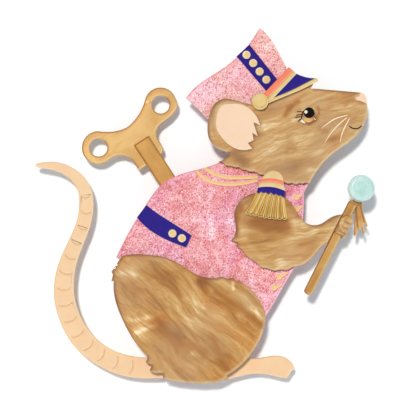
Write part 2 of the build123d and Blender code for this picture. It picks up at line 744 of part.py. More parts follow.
# ================================================================ cap
with BuildPart() as hat_crown:
    with BuildSketch(front_view(CROWN_BACK)):
        with BuildLine():
            curve((-8.2, 19.9), (-5, 23), (-1, 25.6), (3, 29.1), (6.2, 33.5))
            bow((6.2, 33.5), (6.6, 33.75), (7.0, 33.5))
            curve((7.0, 33.5), (9, 31.2), (11, 27.6), (12.1, 25.6))
            straight((12.1, 25.6), (10.5, 21.5), (4.6, 16.2), (-2.6, 14.4), (-4.1, 15.7), (-8.2, 19.6))
            bow((-8.2, 19.6), (-8.3, 19.75), (-8.2, 19.9))
        make_face()
    extrude(amount=CAP_SHEET)
    with BuildSketch(front_view(FUR_BACK)):
        add(hat_band_outline.sketch)
    extrude(amount=-BAND_INLAY, mode=Mode.SUBTRACT)
save(hat_crown, "hat_crown")

HAT_STUDS = [(3.8, 28.4), (5.15, 26.75), (6.45, 25.05), (7.8, 23.4)]
with BuildPart() as hat_band:
    with BuildSketch(front_view(FUR_BACK - BAND_INLAY)):
        add(hat_band_outline.sketch)
    extrude(amount=BAND_INLAY)
    with BuildSketch(front_view(FUR_BACK)):
        with Locations([spot(*stud) for stud in HAT_STUDS]):
            Circle(STUD_RADIUS * SCALE + STUD_GAP)
    extrude(amount=-STUD_LET_IN, mode=Mode.SUBTRACT)
save(hat_band, "hat_band")

for i, centre in enumerate(HAT_STUDS):
    save_stud(centre, FUR_BACK, f"hat_stud_{i + 1}")

with BuildPart() as hat_coral_stripe:
    with BuildSketch(front_view(FUR_FRONT)):
        add(coral_outline.sketch)
        add(cap_button_outline.sketch, mode=Mode.SUBTRACT)
    extrude(amount=CAP_SHEET)
save(hat_coral_stripe, "hat_coral_stripe")

with BuildPart() as hat_gold_stripe:
    with BuildSketch(front_view(FUR_FRONT)):
        add(gold_outline.sketch)
        add(coral_outline.sketch, mode=Mode.SUBTRACT)
        add(cap_button_outline.sketch, mode=Mode.SUBTRACT)
    extrude(amount=CAP_SHEET)
save(hat_gold_stripe, "hat_gold_stripe")

with BuildPart() as visor:
    with BuildSketch(front_view(FUR_FRONT)):
        add(visor_outline.sketch)
        add(gold_outline.sketch, mode=Mode.SUBTRACT)
    extrude(amount=CAP_SHEET)
save(visor, "visor")

with BuildPart() as visor_trim:
    with BuildSketch(front_view(FUR_FRONT)):
        with BuildLine():
            curve((17.4, 23.5), (17.9, 23.3), (18.0, 23.0))
            curve((18.0, 23.0), (16, 21.9), (13, 20.5), (9.2, 18.95), (7.4, 18.1))
            straight((7.4, 18.1), (7.2, 18.6), (9.2, 19.6))
            curve((9.2, 19.6), (11, 20.3), (14, 21.7), (17.4, 23.5))
        make_face()
        add(visor_outline.sketch, mode=Mode.SUBTRACT)
        add(gold_outline.sketch, mode=Mode.SUBTRACT)
        add(cap_button_outline.sketch, mode=Mode.SUBTRACT)
    extrude(amount=CAP_SHEET)
save(visor_trim, "visor_trim")

with BuildPart() as hat_button:
    with BuildSketch(front_view(FUR_FRONT)):
        add(cap_button_outline.sketch)
    extrude(amount=CAP_SHEET + CAP_BUTTON_PROUD)
    with BuildSketch(front_view(CAP_FRONT + CAP_BUTTON_PROUD)):
        with Locations(spot(*CAP_BUTTON)):
            Circle((CAP_BUTTON_RADIUS - CAP_BUTTON_RIM) * SCALE)
    extrude(amount=-ENGRAVING_DEPTH, mode=Mode.SUBTRACT)
save(hat_button, "hat_button")

# ================================================================ epaulette
# Five pieces glued side by side. The arcs between them are drawn once and used from both sides.
DOME_FOOT = [(6.4, 3.1), (8.6, 3.35), (10.95, 2.85)]
CORAL_FOOT = [(6.15, 2.4), (8.6, 2.6), (11.1, 2.0)]
GOLD_FOOT = [(5.9, 1.5), (8.6, 1.65), (11.35, 0.8)]
NAVY_TEETH = [
    (5.7, 0.5), (6.1, 0.4), (6.5, 0.75), (7.1, 0.4), (7.45, 0.65), (8.0, 0.15), (8.5, 0.6), (9.1, 0.05),
    (9.5, 0.35), (10.1, -0.15), (10.35, 0.1), (11.15, -0.6),
]


def save_band(top, foot_line, name):
    """A band of the epaulette between two arcs."""
    with BuildPart() as band:
        with BuildSketch(front_view(FUR_FRONT)):
            with BuildLine():
                bow(*top)
                straight(top[-1], foot_line[-1])
                bow(*reversed(foot_line))
                straight(foot_line[0], top[0])
            make_face()
        extrude(amount=EPAULETTE_SHEET)
    save(band, name)


with BuildPart() as epaulette_dome:
    with BuildSketch(front_view(FUR_FRONT)):
        with BuildLine():
            curve(DOME_FOOT[0], (7.2, 4.1), (8.2, 4.8), (9.3, 4.9), (10.4, 4.3), DOME_FOOT[-1])
            bow(*reversed(DOME_FOOT))
        make_face()
    extrude(amount=EPAULETTE_SHEET)
save(epaulette_dome, "epaulette_dome")

save_band(DOME_FOOT, CORAL_FOOT, "epaulette_coral_stripe")
save_band(CORAL_FOOT, GOLD_FOOT, "epaulette_gold_stripe")

with BuildPart() as epaulette_navy_band:
    with BuildSketch(front_view(FUR_FRONT)):
        with BuildLine():
            bow(*GOLD_FOOT)
            straight(GOLD_FOOT[-1], *reversed(NAVY_TEETH), GOLD_FOOT[0])
        make_face()
    extrude(amount=EPAULETTE_SHEET)
save(epaulette_navy_band, "epaulette_navy_band")

with BuildPart() as epaulette_fringe:
    with BuildSketch(front_view(FUR_FRONT)):
        with BuildLine():
            straight(*NAVY_TEETH)
            curve(NAVY_TEETH[-1], (11.3, -2.5), (11.9, -4.5))
            straight(
                (11.9, -4.5), (11.3, -4.75), (10.8, -5.0), (10.3, -4.65), (9.6, -4.8), (9.0, -4.5),
                (8.5, -4.65),
            )
            straight(
                (8.5, -4.65), (7.9, -4.5), (7.3, -4.6), (6.8, -4.15), (6.2, -4.3), (5.6, -3.95),
                (5.1, -4.15),
            )
            straight((5.1, -4.15), (4.7, -3.7), (4.2, -3.95), (3.2, -3.8), (3.0, -3.5))
            curve((3.0, -3.5), (4.4, -2.2), (5.4, -0.6), NAVY_TEETH[0])
        make_face()
    extrude(amount=FRINGE_SHEET)
save(epaulette_fringe, "epaulette_fringe")

# ================================================================ bar pin: bar, hinge and safety catch
BAR_END = BAR_LENGTH / 2
HINGE_X = -BAR_END + HINGE_SETBACK
CATCH_END = BAR_END - CATCH_SETBACK
CATCH_START = CATCH_END - CATCH_LENGTH
CLEVIS_INNER = KNUCKLE_WIDTH / 2 + KNUCKLE_SIDE_GAP
CLEVIS_OUTER = CLEVIS_INNER + CLEVIS_THICKNESS
RING_INNER = ROTOR_RADIUS + ROTOR_RUN
RING_OUTER = RING_INNER + CATCH_WALL
RING_STARTS = [CATCH_START, CATCH_END - CATCH_RING]


def across_pin(x):
    """The plane across the pin stem at a distance along it: its X is +Y, its Y is +Z."""
    return Plane.YZ.offset(x)


with BuildPart() as pin_base_bar:
    with BuildSketch(front_view(CLOTH_GAP)):
        SlotOverall(BAR_LENGTH, BAR_WIDTH)
        with GridLocations(GLUE_HOLE_SPACING, 0, 2, 1):
            Circle(GLUE_HOLE_RADIUS, mode=Mode.SUBTRACT)
    extrude(amount=BAR_SHEET)
    for side in (-1, 1):
        with BuildSketch(Plane.XY.offset(side * (CLEVIS_INNER + CLEVIS_THICKNESS / 2))):
            with Locations((HINGE_X, 0)):
                Circle(CLEVIS_RADIUS)
            with Locations((HINGE_X, -CLOTH_GAP / 2)):
                Rectangle(2 * CLEVIS_RADIUS, CLOTH_GAP)
            with Locations((HINGE_X, 0)):
                Circle(RIVET_RADIUS, mode=Mode.SUBTRACT)
        extrude(amount=CLEVIS_THICKNESS / 2, both=True)
    for ring_start in RING_STARTS:
        with BuildSketch(across_pin(ring_start)):
            Circle(RING_OUTER)
            with Locations((-CLOTH_GAP / 2, 0)):
                Rectangle(CLOTH_GAP, 2 * RING_OUTER)
            Circle(RING_INNER, mode=Mode.SUBTRACT)
            with Locations((RING_OUTER, 0)):
                Rectangle(2 * RING_OUTER, CATCH_MOUTH, mode=Mode.SUBTRACT)
        extrude(amount=CATCH_RING)
save(pin_base_bar, "pin_base_bar")

with BuildPart() as hinge_rivet:
    with BuildSketch(Plane.XY.offset(-CLEVIS_OUTER - RIVET_HEAD)):
        with Locations((HINGE_X, 0)):
            Circle(RIVET_HEAD_RADIUS)
    extrude(amount=RIVET_HEAD)
    with BuildSketch(Plane.XY.offset(-CLEVIS_OUTER)):
        with Locations((HINGE_X, 0)):
            Circle(RIVET_RADIUS)
    extrude(amount=2 * CLEVIS_OUTER)
    with BuildSketch(Plane.XY.offset(CLEVIS_OUTER)):
        with Locations((HINGE_X, 0)):
            Circle(RIVET_HEAD_RADIUS)
    extrude(amount=RIVET_HEAD)
save(hinge_rivet, "hinge_rivet")

STEM_SHOULDER = CATCH_START - 0.4          # where the point begins
STEM_TIP = STEM_SHOULDER + STEM_POINT
with BuildPart() as pin_stem:
    with BuildSketch(Plane.XY.offset(-KNUCKLE_WIDTH / 2)):
        with Locations((HINGE_X, 0)):
            Circle(KNUCKLE_RADIUS)
    extrude(amount=KNUCKLE_WIDTH)
    with BuildSketch(across_pin(HINGE_X)):
        Circle(STEM_RADIUS)
    extrude(amount=STEM_SHOULDER - HINGE_X)
    with BuildSketch(across_pin(STEM_SHOULDER)):
        Circle(STEM_RADIUS)
    with BuildSketch(across_pin(STEM_TIP)):
        Circle(STEM_TIP_RADIUS)
    loft()
    with Locations(Location((HINGE_X, 0, 0))):
        Cylinder(RIVET_RADIUS + RIVET_RUN, 2 * KNUCKLE_WIDTH, mode=Mode.SUBTRACT)
save(pin_stem, "pin_stem")

SLOT_WIDTH = 2 * (STEM_RADIUS + STEM_SLOT_GAP)
LEVER_START = CATCH_START + CATCH_RING + ROTOR_END_GAP
LEVER_LENGTH = CATCH_LENGTH - 2 * (CATCH_RING + ROTOR_END_GAP)
lever_plane = Plane(
    origin=(LEVER_START, 0, 0),
    x_dir=(0, cos(radians(LEVER_ANGLE)), sin(radians(LEVER_ANGLE))),
    z_dir=(1, 0, 0),
)
with BuildPart() as safety_catch:
    with BuildSketch(across_pin(CATCH_START)):
        Circle(ROTOR_RADIUS)
    extrude(amount=CATCH_LENGTH)
    with BuildSketch(lever_plane):
        with Locations((LEVER_REACH / 2, 0)):
            Rectangle(LEVER_REACH, LEVER_THICKNESS)
    extrude(amount=LEVER_LENGTH)
    with BuildSketch(across_pin(CATCH_START)):
        Circle(SLOT_WIDTH / 2)
        with Locations((ROTOR_RADIUS, 0)):
            Rectangle(2 * ROTOR_RADIUS, SLOT_WIDTH)
    extrude(amount=CATCH_LENGTH, mode=Mode.SUBTRACT)
save(safety_catch, "safety_catch")
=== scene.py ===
import math
import random

import bpy
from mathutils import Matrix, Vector


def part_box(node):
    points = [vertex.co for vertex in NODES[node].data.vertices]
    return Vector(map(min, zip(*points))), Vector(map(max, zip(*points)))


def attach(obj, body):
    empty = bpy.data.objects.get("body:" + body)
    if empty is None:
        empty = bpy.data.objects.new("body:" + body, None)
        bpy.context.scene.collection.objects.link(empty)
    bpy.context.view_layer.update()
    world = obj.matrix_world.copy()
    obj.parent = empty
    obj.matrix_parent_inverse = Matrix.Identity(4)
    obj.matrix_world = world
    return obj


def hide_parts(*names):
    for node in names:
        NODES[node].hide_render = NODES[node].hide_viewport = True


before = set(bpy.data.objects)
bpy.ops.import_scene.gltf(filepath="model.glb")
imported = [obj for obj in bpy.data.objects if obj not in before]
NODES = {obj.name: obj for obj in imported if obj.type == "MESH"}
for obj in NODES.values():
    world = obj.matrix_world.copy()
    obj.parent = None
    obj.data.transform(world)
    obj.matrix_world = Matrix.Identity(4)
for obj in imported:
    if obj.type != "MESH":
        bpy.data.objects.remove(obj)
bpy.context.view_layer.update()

# ---------------------------------------------------------------- sizes
# Lengths are in metres, and the places on the drawing are in millimetres.
MM = 0.001
DRAWING_PIN = (3.2, -1.0)       # where the bar pin's middle lies on the drawing
FUR_FRONT = -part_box("head")[0].y       # the front of the head, which the nose stands proud of
FRAME_WIDTH = 83.2 * MM         # what the camera takes in, across the brooch
LOOK_AT = Vector((-7.2 * MM, -5.5 * MM, -1.5 * MM))
VIEW_AZIMUTH = -3.5
VIEW_ELEVATION = -3.0
LENS = 200.0
SENSOR = 36.0


def srgb(red, green, blue):
    """A colour given as 0 to 255 display values, as the linear colour that shaders use."""
    channels = []
    for value in (red, green, blue):
        share = value / 255
        channels.append(share / 12.92 if share <= 0.04045 else ((share + 0.055) / 1.055) ** 2.4)
    return (*channels, 1.0)


def seen(x, z, depth=0.0):
    """A place on the drawing, in mm, as a point in the frame at a depth in metres in front of the pin."""
    return Vector(((x - DRAWING_PIN[0]) * MM, -depth, (z - DRAWING_PIN[1]) * MM))


# ---------------------------------------------------------------- shader nodes
class Paint:
    """One material: a Principled shader and the nodes that feed it. Places are in millimetres."""

    def __init__(self, name):
        self.material = bpy.data.materials.new(name)
        self.material.use_nodes = True
        self.tree = self.material.node_tree
        self.tree.nodes.clear()
        output = self.tree.nodes.new("ShaderNodeOutputMaterial")
        self.shader = self.tree.nodes.new("ShaderNodeBsdfPrincipled")
        self.tree.links.new(self.shader.outputs[0], output.inputs["Surface"])
        self.shader.inputs["Specular IOR Level"].default_value = 0.18
        place = self.tree.nodes.new("ShaderNodeTexCoord").outputs["Object"]
        self.place = self.mapped(place, scale=(1 / MM,) * 3)

    def put(self, socket, value):
        """Links a socket to another, or sets its own value."""
        if isinstance(value, bpy.types.NodeSocket):
            self.tree.links.new(value, socket)
        else:
            socket.default_value = value

    def set(self, **values):
        """Sets the shader's sockets by name, with _ for a space."""
        for name, value in values.items():
            self.put(self.shader.inputs[name.replace("_", " ")], value)

    def mapped(self, vector, rotation=(0, 0, 0), scale=(1, 1, 1)):
        node = self.tree.nodes.new("ShaderNodeMapping")
        self.put(node.inputs["Vector"], vector)
        node.inputs["Rotation"].default_value = rotation
        node.inputs["Scale"].default_value = scale
        return node.outputs[0]

    def noise(self, vector, scale, detail=3.0, roughness=0.5, distortion=0.0, out="Fac"):
        node = self.tree.nodes.new("ShaderNodeTexNoise")
        self.put(node.inputs["Vector"], vector)
        node.inputs["Scale"].default_value = scale
        node.inputs["Detail"].default_value = detail
        node.inputs["Roughness"].default_value = roughness
        node.inputs["Distortion"].default_value = distortion
        return node.outputs[out]

    def cells(self, vector, scale):
        """(distance to a cell's middle, the cell's random colour)."""
        node = self.tree.nodes.new("ShaderNodeTexVoronoi")
        self.put(node.inputs["Vector"], vector)
        node.inputs["Scale"].default_value = scale
        return node.outputs["Distance"], node.outputs["Color"]

    def sum(self, operation, a, b=0.0, clamp=False):
        node = self.tree.nodes.new("ShaderNodeMath")
        node.operation = operation
        node.use_clamp = clamp
        self.put(node.inputs[0], a)
        self.put(node.inputs[1], b)
        return node.outputs[0]

    def vector_sum(self, operation, a, b):
        node = self.tree.nodes.new("ShaderNodeVectorMath")
        node.operation = operation
        self.put(node.inputs[0], a)
        self.put(node.inputs[1], b)
        return node.outputs["Value"] if operation == "DISTANCE" else node.outputs[0]

    def remap(self, value, low, high, to_low=0.0, to_high=1.0, smooth=True):
        node = self.tree.nodes.new("ShaderNodeMapRange")
        node.interpolation_type = "SMOOTHSTEP" if smooth else "LINEAR"
        self.put(node.inputs["Value"], value)
        node.inputs["From Min"].default_value = low
        node.inputs["From Max"].default_value = high
        node.inputs["To Min"].default_value = to_low
        node.inputs["To Max"].default_value = to_high
        return node.outputs[0]

    def ramp(self, value, stops):
        node = self.tree.nodes.new("ShaderNodeValToRGB")
        self.put(node.inputs[0], value)
        elements = node.color_ramp.elements
        while len(elements) < len(stops):
            elements.new(0.5)
        for element, (place, colour) in zip(elements, stops):
            element.position = place
            element.color = colour
        return node.outputs[0]

    def mix(self, share, a, b, blend="MIX"):
        node = self.tree.nodes.new("ShaderNodeMix")
        node.data_type = "RGBA"
        node.blend_type = blend
        self.put(node.inputs[0], share)
        self.put(node.inputs[6], a)
        self.put(node.inputs[7], b)
        return node.outputs[2]

    def bump(self, height, strength, distance):
        node = self.tree.nodes.new("ShaderNodeBump")
        node.inputs["Strength"].default_value = strength
        node.inputs["Distance"].default_value = distance
        self.put(node.inputs["Height"], height)
        self.put(self.shader.inputs["Normal"], node.outputs[0])

    def blot(self, vector, x, z, radius, strength):
        """A soft round patch at a place on the drawing: its strength in the middle, 0 past its radius."""
        middle = ((x - DRAWING_PIN[0]), 0.0, (z - DRAWING_PIN[1]))
        distance = self.vector_sum("DISTANCE", vector, middle)
        return self.remap(distance, radius, 0.0, 0.0, strength)

    def blots(self, vector, value, patches):
        for x, z, radius, strength in patches:
            value = self.sum("ADD", value, self.blot(vector, x, z, radius, strength))
        return value

    def stroke(self, vector, x1, z1, x2, z2, width, strength):
        """A soft stroke between two places on the drawing, in mm."""
        start = Vector((x1 - DRAWING_PIN[0], 0.0, z1 - DRAWING_PIN[1]))
        run = Vector((x2 - x1, 0.0, z2 - z1))
        away = self.vector_sum("SUBTRACT", vector, start)
        share = self.sum("MULTIPLY", self.dot(away, run), 1 / run.length_squared, clamp=True)
        scaled = self.tree.nodes.new("ShaderNodeVectorMath")
        scaled.operation = "SCALE"
        scaled.inputs[0].default_value = run
        self.put(scaled.inputs["Scale"], share)
        distance = self.vector_sum("DISTANCE", away, scaled.outputs[0])
        return self.remap(distance, width, 0.0, 0.0, strength)

    def strokes(self, vector, value, marks):
        for mark in marks:
            value = self.sum("ADD", value, self.stroke(vector, *mark))
        return value

    def stained(self, vector, colour, tint, marks):
        """Tints a colour along soft strokes. Each mark ends with how strong it is."""
        for mark in marks:
            colour = self.mix(self.stroke(vector, *mark), colour, tint)
        return colour

    def dot(self, a, b):
        node = self.tree.nodes.new("ShaderNodeVectorMath")
        node.operation = "DOT_PRODUCT"
        self.put(node.inputs[0], a)
        self.put(node.inputs[1], b)
        return node.outputs["Value"]

    def facing(self, normal, direction, start, end):
        """How far a surface leans in a direction: 0 up to the start, 1 from the end on."""
        return self.remap(self.dot(normal, direction), start, end, smooth=False)

    def rims_shaded_and_highlit(self, colour, dark, light, radius, dark_share=0.75, light_share=0.5):
        """Painted shade on the rims that lean up and left, and a painted highlight on those that lean
        down and right.
        """
        node = self.tree.nodes.new("ShaderNodeBevel")
        node.samples = 8
        node.inputs["Radius"].default_value = radius * MM
        rounded = node.outputs[0]
        painted_shade_rims = self.facing(rounded, (-0.75, 0.0, 0.66), 0.01, 0.3)
        painted_highlight_rims = self.facing(rounded, (0.66, 0.0, -0.75), 0.03, 0.4)
        colour = self.mix(self.sum("MULTIPLY", painted_shade_rims, dark_share), colour, dark)
        return self.mix(self.sum("MULTIPLY", painted_highlight_rims, light_share), colour, light)


# ---------------------------------------------------------------- materials
def pearl_resin(name, grain, patches, swirl=5.0, lift=0.0, tan=0.0, strokes=(), stains_and_shade=(), rim=1.1):
    """Swirled pearl resin: silky streaks along a grain angle, in degrees, with light and dark patches.

    A lift makes all of it lighter, and tan greys it. Its rims get painted shade where they lean up and
    left and a painted highlight where they lean down and right.
    """
    paint = Paint(name)
    flat = paint.mapped(paint.place, scale=(1, 0.3, 1))
    drift = paint.noise(flat, 0.085, 2.0, out="Color")
    drift = paint.vector_sum("SUBTRACT", drift, (0.5, 0.5, 0.5))
    drift = paint.vector_sum("MULTIPLY", drift, (swirl, swirl, swirl))
    warped = paint.vector_sum("ADD", flat, drift)
    turned = paint.mapped(warped, rotation=(0, math.radians(grain), 0))
    bands = paint.noise(paint.mapped(turned, scale=(0.2, 1, 1)), 0.42, 4.0, 0.55, 0.9)
    silk = paint.noise(paint.mapped(turned, scale=(0.09, 1, 1)), 1.7, 5.0, 0.62, 0.35)
    fibre = paint.noise(paint.mapped(turned, scale=(0.04, 1, 1)), 4.2, 4.0, 0.7, 0.3)
    tone = paint.sum("ADD", paint.sum("MULTIPLY", bands, 0.5), 0.02 + lift)
    tone = paint.sum("ADD", tone, paint.sum("MULTIPLY", silk, 0.36))
    tone = paint.sum("ADD", tone, paint.sum("MULTIPLY", fibre, 0.22))
    place = paint.mapped(warped, scale=(1, 0, 1))
    near = paint.mapped(paint.place, scale=(1, 0, 1))
    middle = paint.mix(0.5, place, near)
    marks = paint.strokes(middle, paint.blots(middle, 0.0, patches), strokes)
    broken = paint.sum("ADD", paint.sum("MULTIPLY", silk, 0.6), paint.sum("MULTIPLY", fibre, 0.4))
    marks = paint.sum("MULTIPLY", marks, paint.remap(broken, 0.34, 0.66, 0.45, 1.3))
    tone = paint.sum("ADD", tone, marks)
    colour = paint.ramp(
        tone,
        [
            (0.28, srgb(112, 66, 24)),
            (0.40, srgb(142, 90, 38)),
            (0.48, srgb(165, 110, 48)),
            (0.55, srgb(180, 129, 67)),
            (0.60, srgb(188, 142, 81)),
            (0.66, srgb(200, 158, 100)),
            (0.74, srgb(220, 186, 136)),
            (0.86, srgb(243, 222, 186)),
        ],
    )
    warmth = paint.remap(paint.noise(turned, 0.16, 2.0), 0.45, 0.7, 0.0, 0.35)
    colour = paint.mix(warmth, colour, srgb(206, 150, 78), "SOFT_LIGHT")
    greyed = paint.remap(paint.noise(paint.place, 0.11, 2.0), 0.42, 0.62, tan, tan + 0.3)
    colour = paint.mix(greyed, colour, srgb(186, 152, 112))
    # Brown tint along strokes: marks in the resin on the haunch and head, and on the arm and fingers also
    # painted shade along the arm's rim that leans up and left, under the fringe and in the finger
    # creases.
    colour = paint.stained(middle, colour, srgb(158, 97, 38), stains_and_shade)
    # Base colour with painted shade on the rims that lean up and left and a painted highlight on those
    # that lean down and right.
    paint.set(
        Base_Color=paint.rims_shaded_and_highlit(colour, srgb(120, 70, 32), srgb(226, 196, 148), rim),
        Roughness=paint.remap(silk, 0.3, 0.7, 0.36, 0.26),
        Coat_Weight=0.3,
        Coat_Roughness=0.04,
        Specular_IOR_Level=0.15,
    )
    paint.bump(silk, 0.05, 0.05 * MM)
    return paint.material


RUST_FLAKES = [(0.0, srgb(132, 36, 30)), (0.5, srgb(176, 70, 42)), (1.0, srgb(208, 120, 66))]
RED_FLAKES = [(0.0, srgb(146, 40, 38)), (0.5, srgb(180, 70, 54)), (1.0, srgb(202, 102, 70))]
FINE_FLAKES = [(0.0, srgb(164, 56, 54)), (1.0, srgb(208, 108, 84))]
PALE_FLAKES = [(0.0, srgb(255, 225, 230)), (1.0, srgb(255, 240, 228))]
PALE_FLAKE_SHARE = 0.4


def glitter_resin(name, stops, patches, strokes=(), speck_share=0.5):
    """Clouded pink resin with red and pale flakes under a polished face."""
    paint = Paint(name)
    flat = paint.mapped(paint.place, scale=(1, 0.4, 1))
    clouds = paint.noise(flat, 0.32, 6.0, 0.6, 1.1)
    fine = paint.noise(flat, 2.2, 4.0, 0.7, 0.3)
    tone = paint.sum("ADD", paint.sum("MULTIPLY", clouds, 0.62), paint.sum("MULTIPLY", fine, 0.22))
    tone = paint.sum("ADD", tone, 0.085)
    face = paint.mapped(paint.place, scale=(1, 0, 1))
    tone = paint.strokes(face, paint.blots(face, tone, patches), strokes)
    shake = paint.vector_sum("MULTIPLY", paint.noise(flat, 2.6, 2.0, out="Color"), (0.7, 0.7, 0.7))
    jitter = paint.vector_sum("ADD", flat, shake)
    colour = paint.ramp(tone, stops)
    lilac_share = paint.remap(paint.noise(flat, 0.14, 3.0, 0.5, 0.6), 0.42, 0.6)
    tint = paint.mix(lilac_share, srgb(197, 188, 152), srgb(184, 179, 218))
    colour = paint.mix(0.4, colour, tint, "SOFT_LIGHT")
    for scale, reach, share, tints in (
        (2.3, 0.32, speck_share, RUST_FLAKES),
        (3.1, 0.34, speck_share, RED_FLAKES),
        (4.1, 0.36, speck_share, FINE_FLAKES),
        (2.9, 0.30, PALE_FLAKE_SHARE, PALE_FLAKES),
    ):
        distance, tint = paint.cells(jitter, scale)
        random_share = paint.tree.nodes.new("ShaderNodeSeparateColor")
        paint.put(random_share.inputs[0], tint)
        inside = paint.remap(distance, reach + 0.07, reach - 0.05)
        chosen = paint.sum("LESS_THAN", random_share.outputs[0], share)
        mask = paint.sum("MULTIPLY", paint.sum("MULTIPLY", inside, chosen), 0.82)
        colour = paint.mix(mask, colour, paint.ramp(random_share.outputs[1], tints))
    # Base colour with painted shade on the rims that lean up and left and a painted highlight on those
    # that lean down and right.
    paint.set(
        Base_Color=paint.rims_shaded_and_highlit(colour, srgb(206, 112, 118), srgb(250, 214, 216), 0.6, 0.6),
        Roughness=paint.remap(fine, 0.3, 0.7, 0.38, 0.28),
        Coat_Weight=0.3,
        Coat_Roughness=0.08,
    )
    return paint.material


def plain_acrylic(name, colour, deep, roughness=0.36, cloud=0.5, coat=0.2, rim=0.45, glow=0.5):
    """Cast acrylic of one colour, a little uneven, with painted shade on the rims that lean up and left
    and a painted highlight on those that lean down and right.
    """
    paint = Paint(name)
    uneven = paint.noise(paint.place, cloud, 4.0, 0.6, 0.3)
    grain = paint.noise(paint.place, 7.0, 3.0, 0.7)
    tone = paint.sum("ADD", paint.sum("MULTIPLY", uneven, 0.75), paint.sum("MULTIPLY", grain, 0.25))
    face = paint.mix(paint.remap(tone, 0.32, 0.68), deep, colour)
    face = paint.mix(0.65, face, colour)
    # lighter is the painted highlight colour for the rims that lean down and right, and glow is how
    # strong it is; deep also serves as the painted shade on the rims that lean up and left.
    lighter = tuple(0.65 * channel + 0.35 for channel in colour)
    paint.set(
        Base_Color=paint.rims_shaded_and_highlit(face, deep, lighter, rim, 0.75, glow),
        Roughness=paint.remap(grain, 0.3, 0.7, roughness + 0.05, roughness - 0.05),
        Coat_Weight=coat,
        Coat_Roughness=0.1,
    )
    paint.bump(grain, 0.03, 0.03 * MM)
    return paint.material


def gold_acrylic(name, light, deep, direction, rim=0.8, folds=()):
    """Satin gold acrylic with a fine brushed grain along a direction, in degrees."""
    paint = Paint(name)
    turned = paint.mapped(paint.place, rotation=(0, math.radians(direction), 0))
    brushed = paint.noise(paint.mapped(turned, scale=(0.05, 1, 1)), 6.0, 4.0, 0.6)
    sheen = paint.noise(paint.place, 0.16, 3.0, 0.5, 0.6)
    tone = paint.sum("ADD", paint.sum("MULTIPLY", brushed, 0.3), paint.sum("MULTIPLY", sheen, 0.7))
    face = paint.mix(paint.remap(tone, 0.35, 0.65), deep, light)
    face = paint.stained(paint.mapped(paint.place, scale=(1, 0, 1)), face, srgb(120, 72, 24), folds)
    # Base colour with painted shade on the rims that lean up and left and a painted highlight on those
    # that lean down and right.
    paint.set(
        Base_Color=paint.rims_shaded_and_highlit(face, srgb(166, 104, 36), srgb(246, 214, 160), rim),
        Roughness=paint.remap(brushed, 0.3, 0.7, 0.42, 0.32),
        Metallic=0.1,
        Coat_Weight=0.05,
        Coat_Roughness=0.25,
    )
    paint.bump(brushed, 0.06, 0.03 * MM)
    return paint.material


def stud_enamel(name, x, z, radius):
    """A cream rim round a gold face, in mm on the drawing."""
    paint = Paint(name)
    flat = paint.mapped(paint.place, scale=(1, 0, 1))
    grain = paint.noise(paint.place, 5.0, 3.0, 0.6)
    away = paint.vector_sum("DISTANCE", flat, (x - DRAWING_PIN[0], 0.0, z - DRAWING_PIN[1]))
    rim = paint.remap(away, radius * 0.66, radius * 0.76)
    gold = paint.mix(grain, srgb(214, 166, 98), srgb(236, 198, 132))
    paint.set(
        Base_Color=paint.mix(rim, gold, srgb(240, 224, 190)),
        Roughness=paint.remap(grain, 0.3, 0.7, 0.36, 0.28),
        Coat_Weight=0.3,
    )
    return paint.material


def mint_orb(name, x, z, radius):
    """Pale mint pearl, cloudy and a little lighter towards its edge, with a painted highlight in a ring
    round the edge.
    """
    paint = Paint(name)
    flat = paint.mapped(paint.place, scale=(1, 0, 1))
    cloud = paint.noise(paint.place, 0.7, 5.0, 0.6, 0.9)
    away = paint.vector_sum("DISTANCE", flat, (x - DRAWING_PIN[0], 0.0, z - DRAWING_PIN[1]))
    outer = paint.remap(away, radius * 0.2, radius * 0.95, 0.0, 0.12)
    tone = paint.sum("ADD", outer, paint.sum("MULTIPLY", cloud, 0.9))
    colour = paint.ramp(
        tone,
        [
            (0.28, srgb(158, 201, 188)),
            (0.42, srgb(173, 208, 196)),
            (0.55, srgb(186, 214, 206)),
            (0.72, srgb(207, 221, 216)),
        ],
    )
    # Painted highlight: a pale ring round the orb's edge.
    edge = paint.remap(away, radius * 0.84, radius * 0.97, 0.0, 0.8)
    paint.set(
        Base_Color=paint.mix(edge, colour, srgb(222, 238, 232)),
        Roughness=paint.remap(cloud, 0.3, 0.7, 0.3, 0.2),
        Coat_Weight=0.3,
        Coat_Roughness=0.05,
    )
    return paint.material


def eye_amber(name, x, z, radius):
    """Amber iris, light at its foot, with a dark brown rim."""
    paint = Paint(name)
    flat = paint.mapped(paint.place, scale=(1, 0, 1))
    rays = paint.noise(paint.place, 3.0, 4.0, 0.6)
    away = paint.vector_sum("DISTANCE", flat, (x - DRAWING_PIN[0], 0.0, z - DRAWING_PIN[1]))
    low = paint.blot(flat, x - 0.15, z - radius * 0.75, radius * 1.5, 1.0)
    inner = paint.mix(low, srgb(146, 88, 38), srgb(226, 176, 108))
    inner = paint.mix(paint.sum("MULTIPLY", rays, 0.25), inner, srgb(190, 120, 70), "MULTIPLY")
    paint.set(
        Base_Color=paint.mix(paint.remap(away, radius * 0.9, radius * 0.99), inner, srgb(96, 50, 22)),
        Roughness=paint.remap(rays, 0.3, 0.7, 0.34, 0.26),
        Coat_Weight=0.1,
    )
    return paint.material


def enamel(name, colour, deep, roughness=0.25):
    """A coat of gloss enamel."""
    return plain_acrylic(name, colour, deep, roughness, 1.2, 0.2, 0.1, 0.1)


def plated_steel(name):
    """Bright nickel plating with fine drawn lines and a little tarnish."""
    paint = Paint(name)
    drawn = paint.noise(paint.mapped(paint.place, scale=(0.08, 1, 1)), 9.0, 4.0, 0.65)
    tarnish = paint.noise(paint.place, 0.7, 4.0, 0.6, 0.4)
    colour = paint.mix(paint.remap(tarnish, 0.4, 0.7), srgb(214, 214, 216), srgb(184, 181, 174))
    paint.set(
        Base_Color=colour,
        Metallic=1.0,
        Roughness=paint.remap(drawn, 0.3, 0.7, 0.32, 0.2),
    )
    paint.bump(drawn, 0.08, 0.02 * MM)
    return paint.material


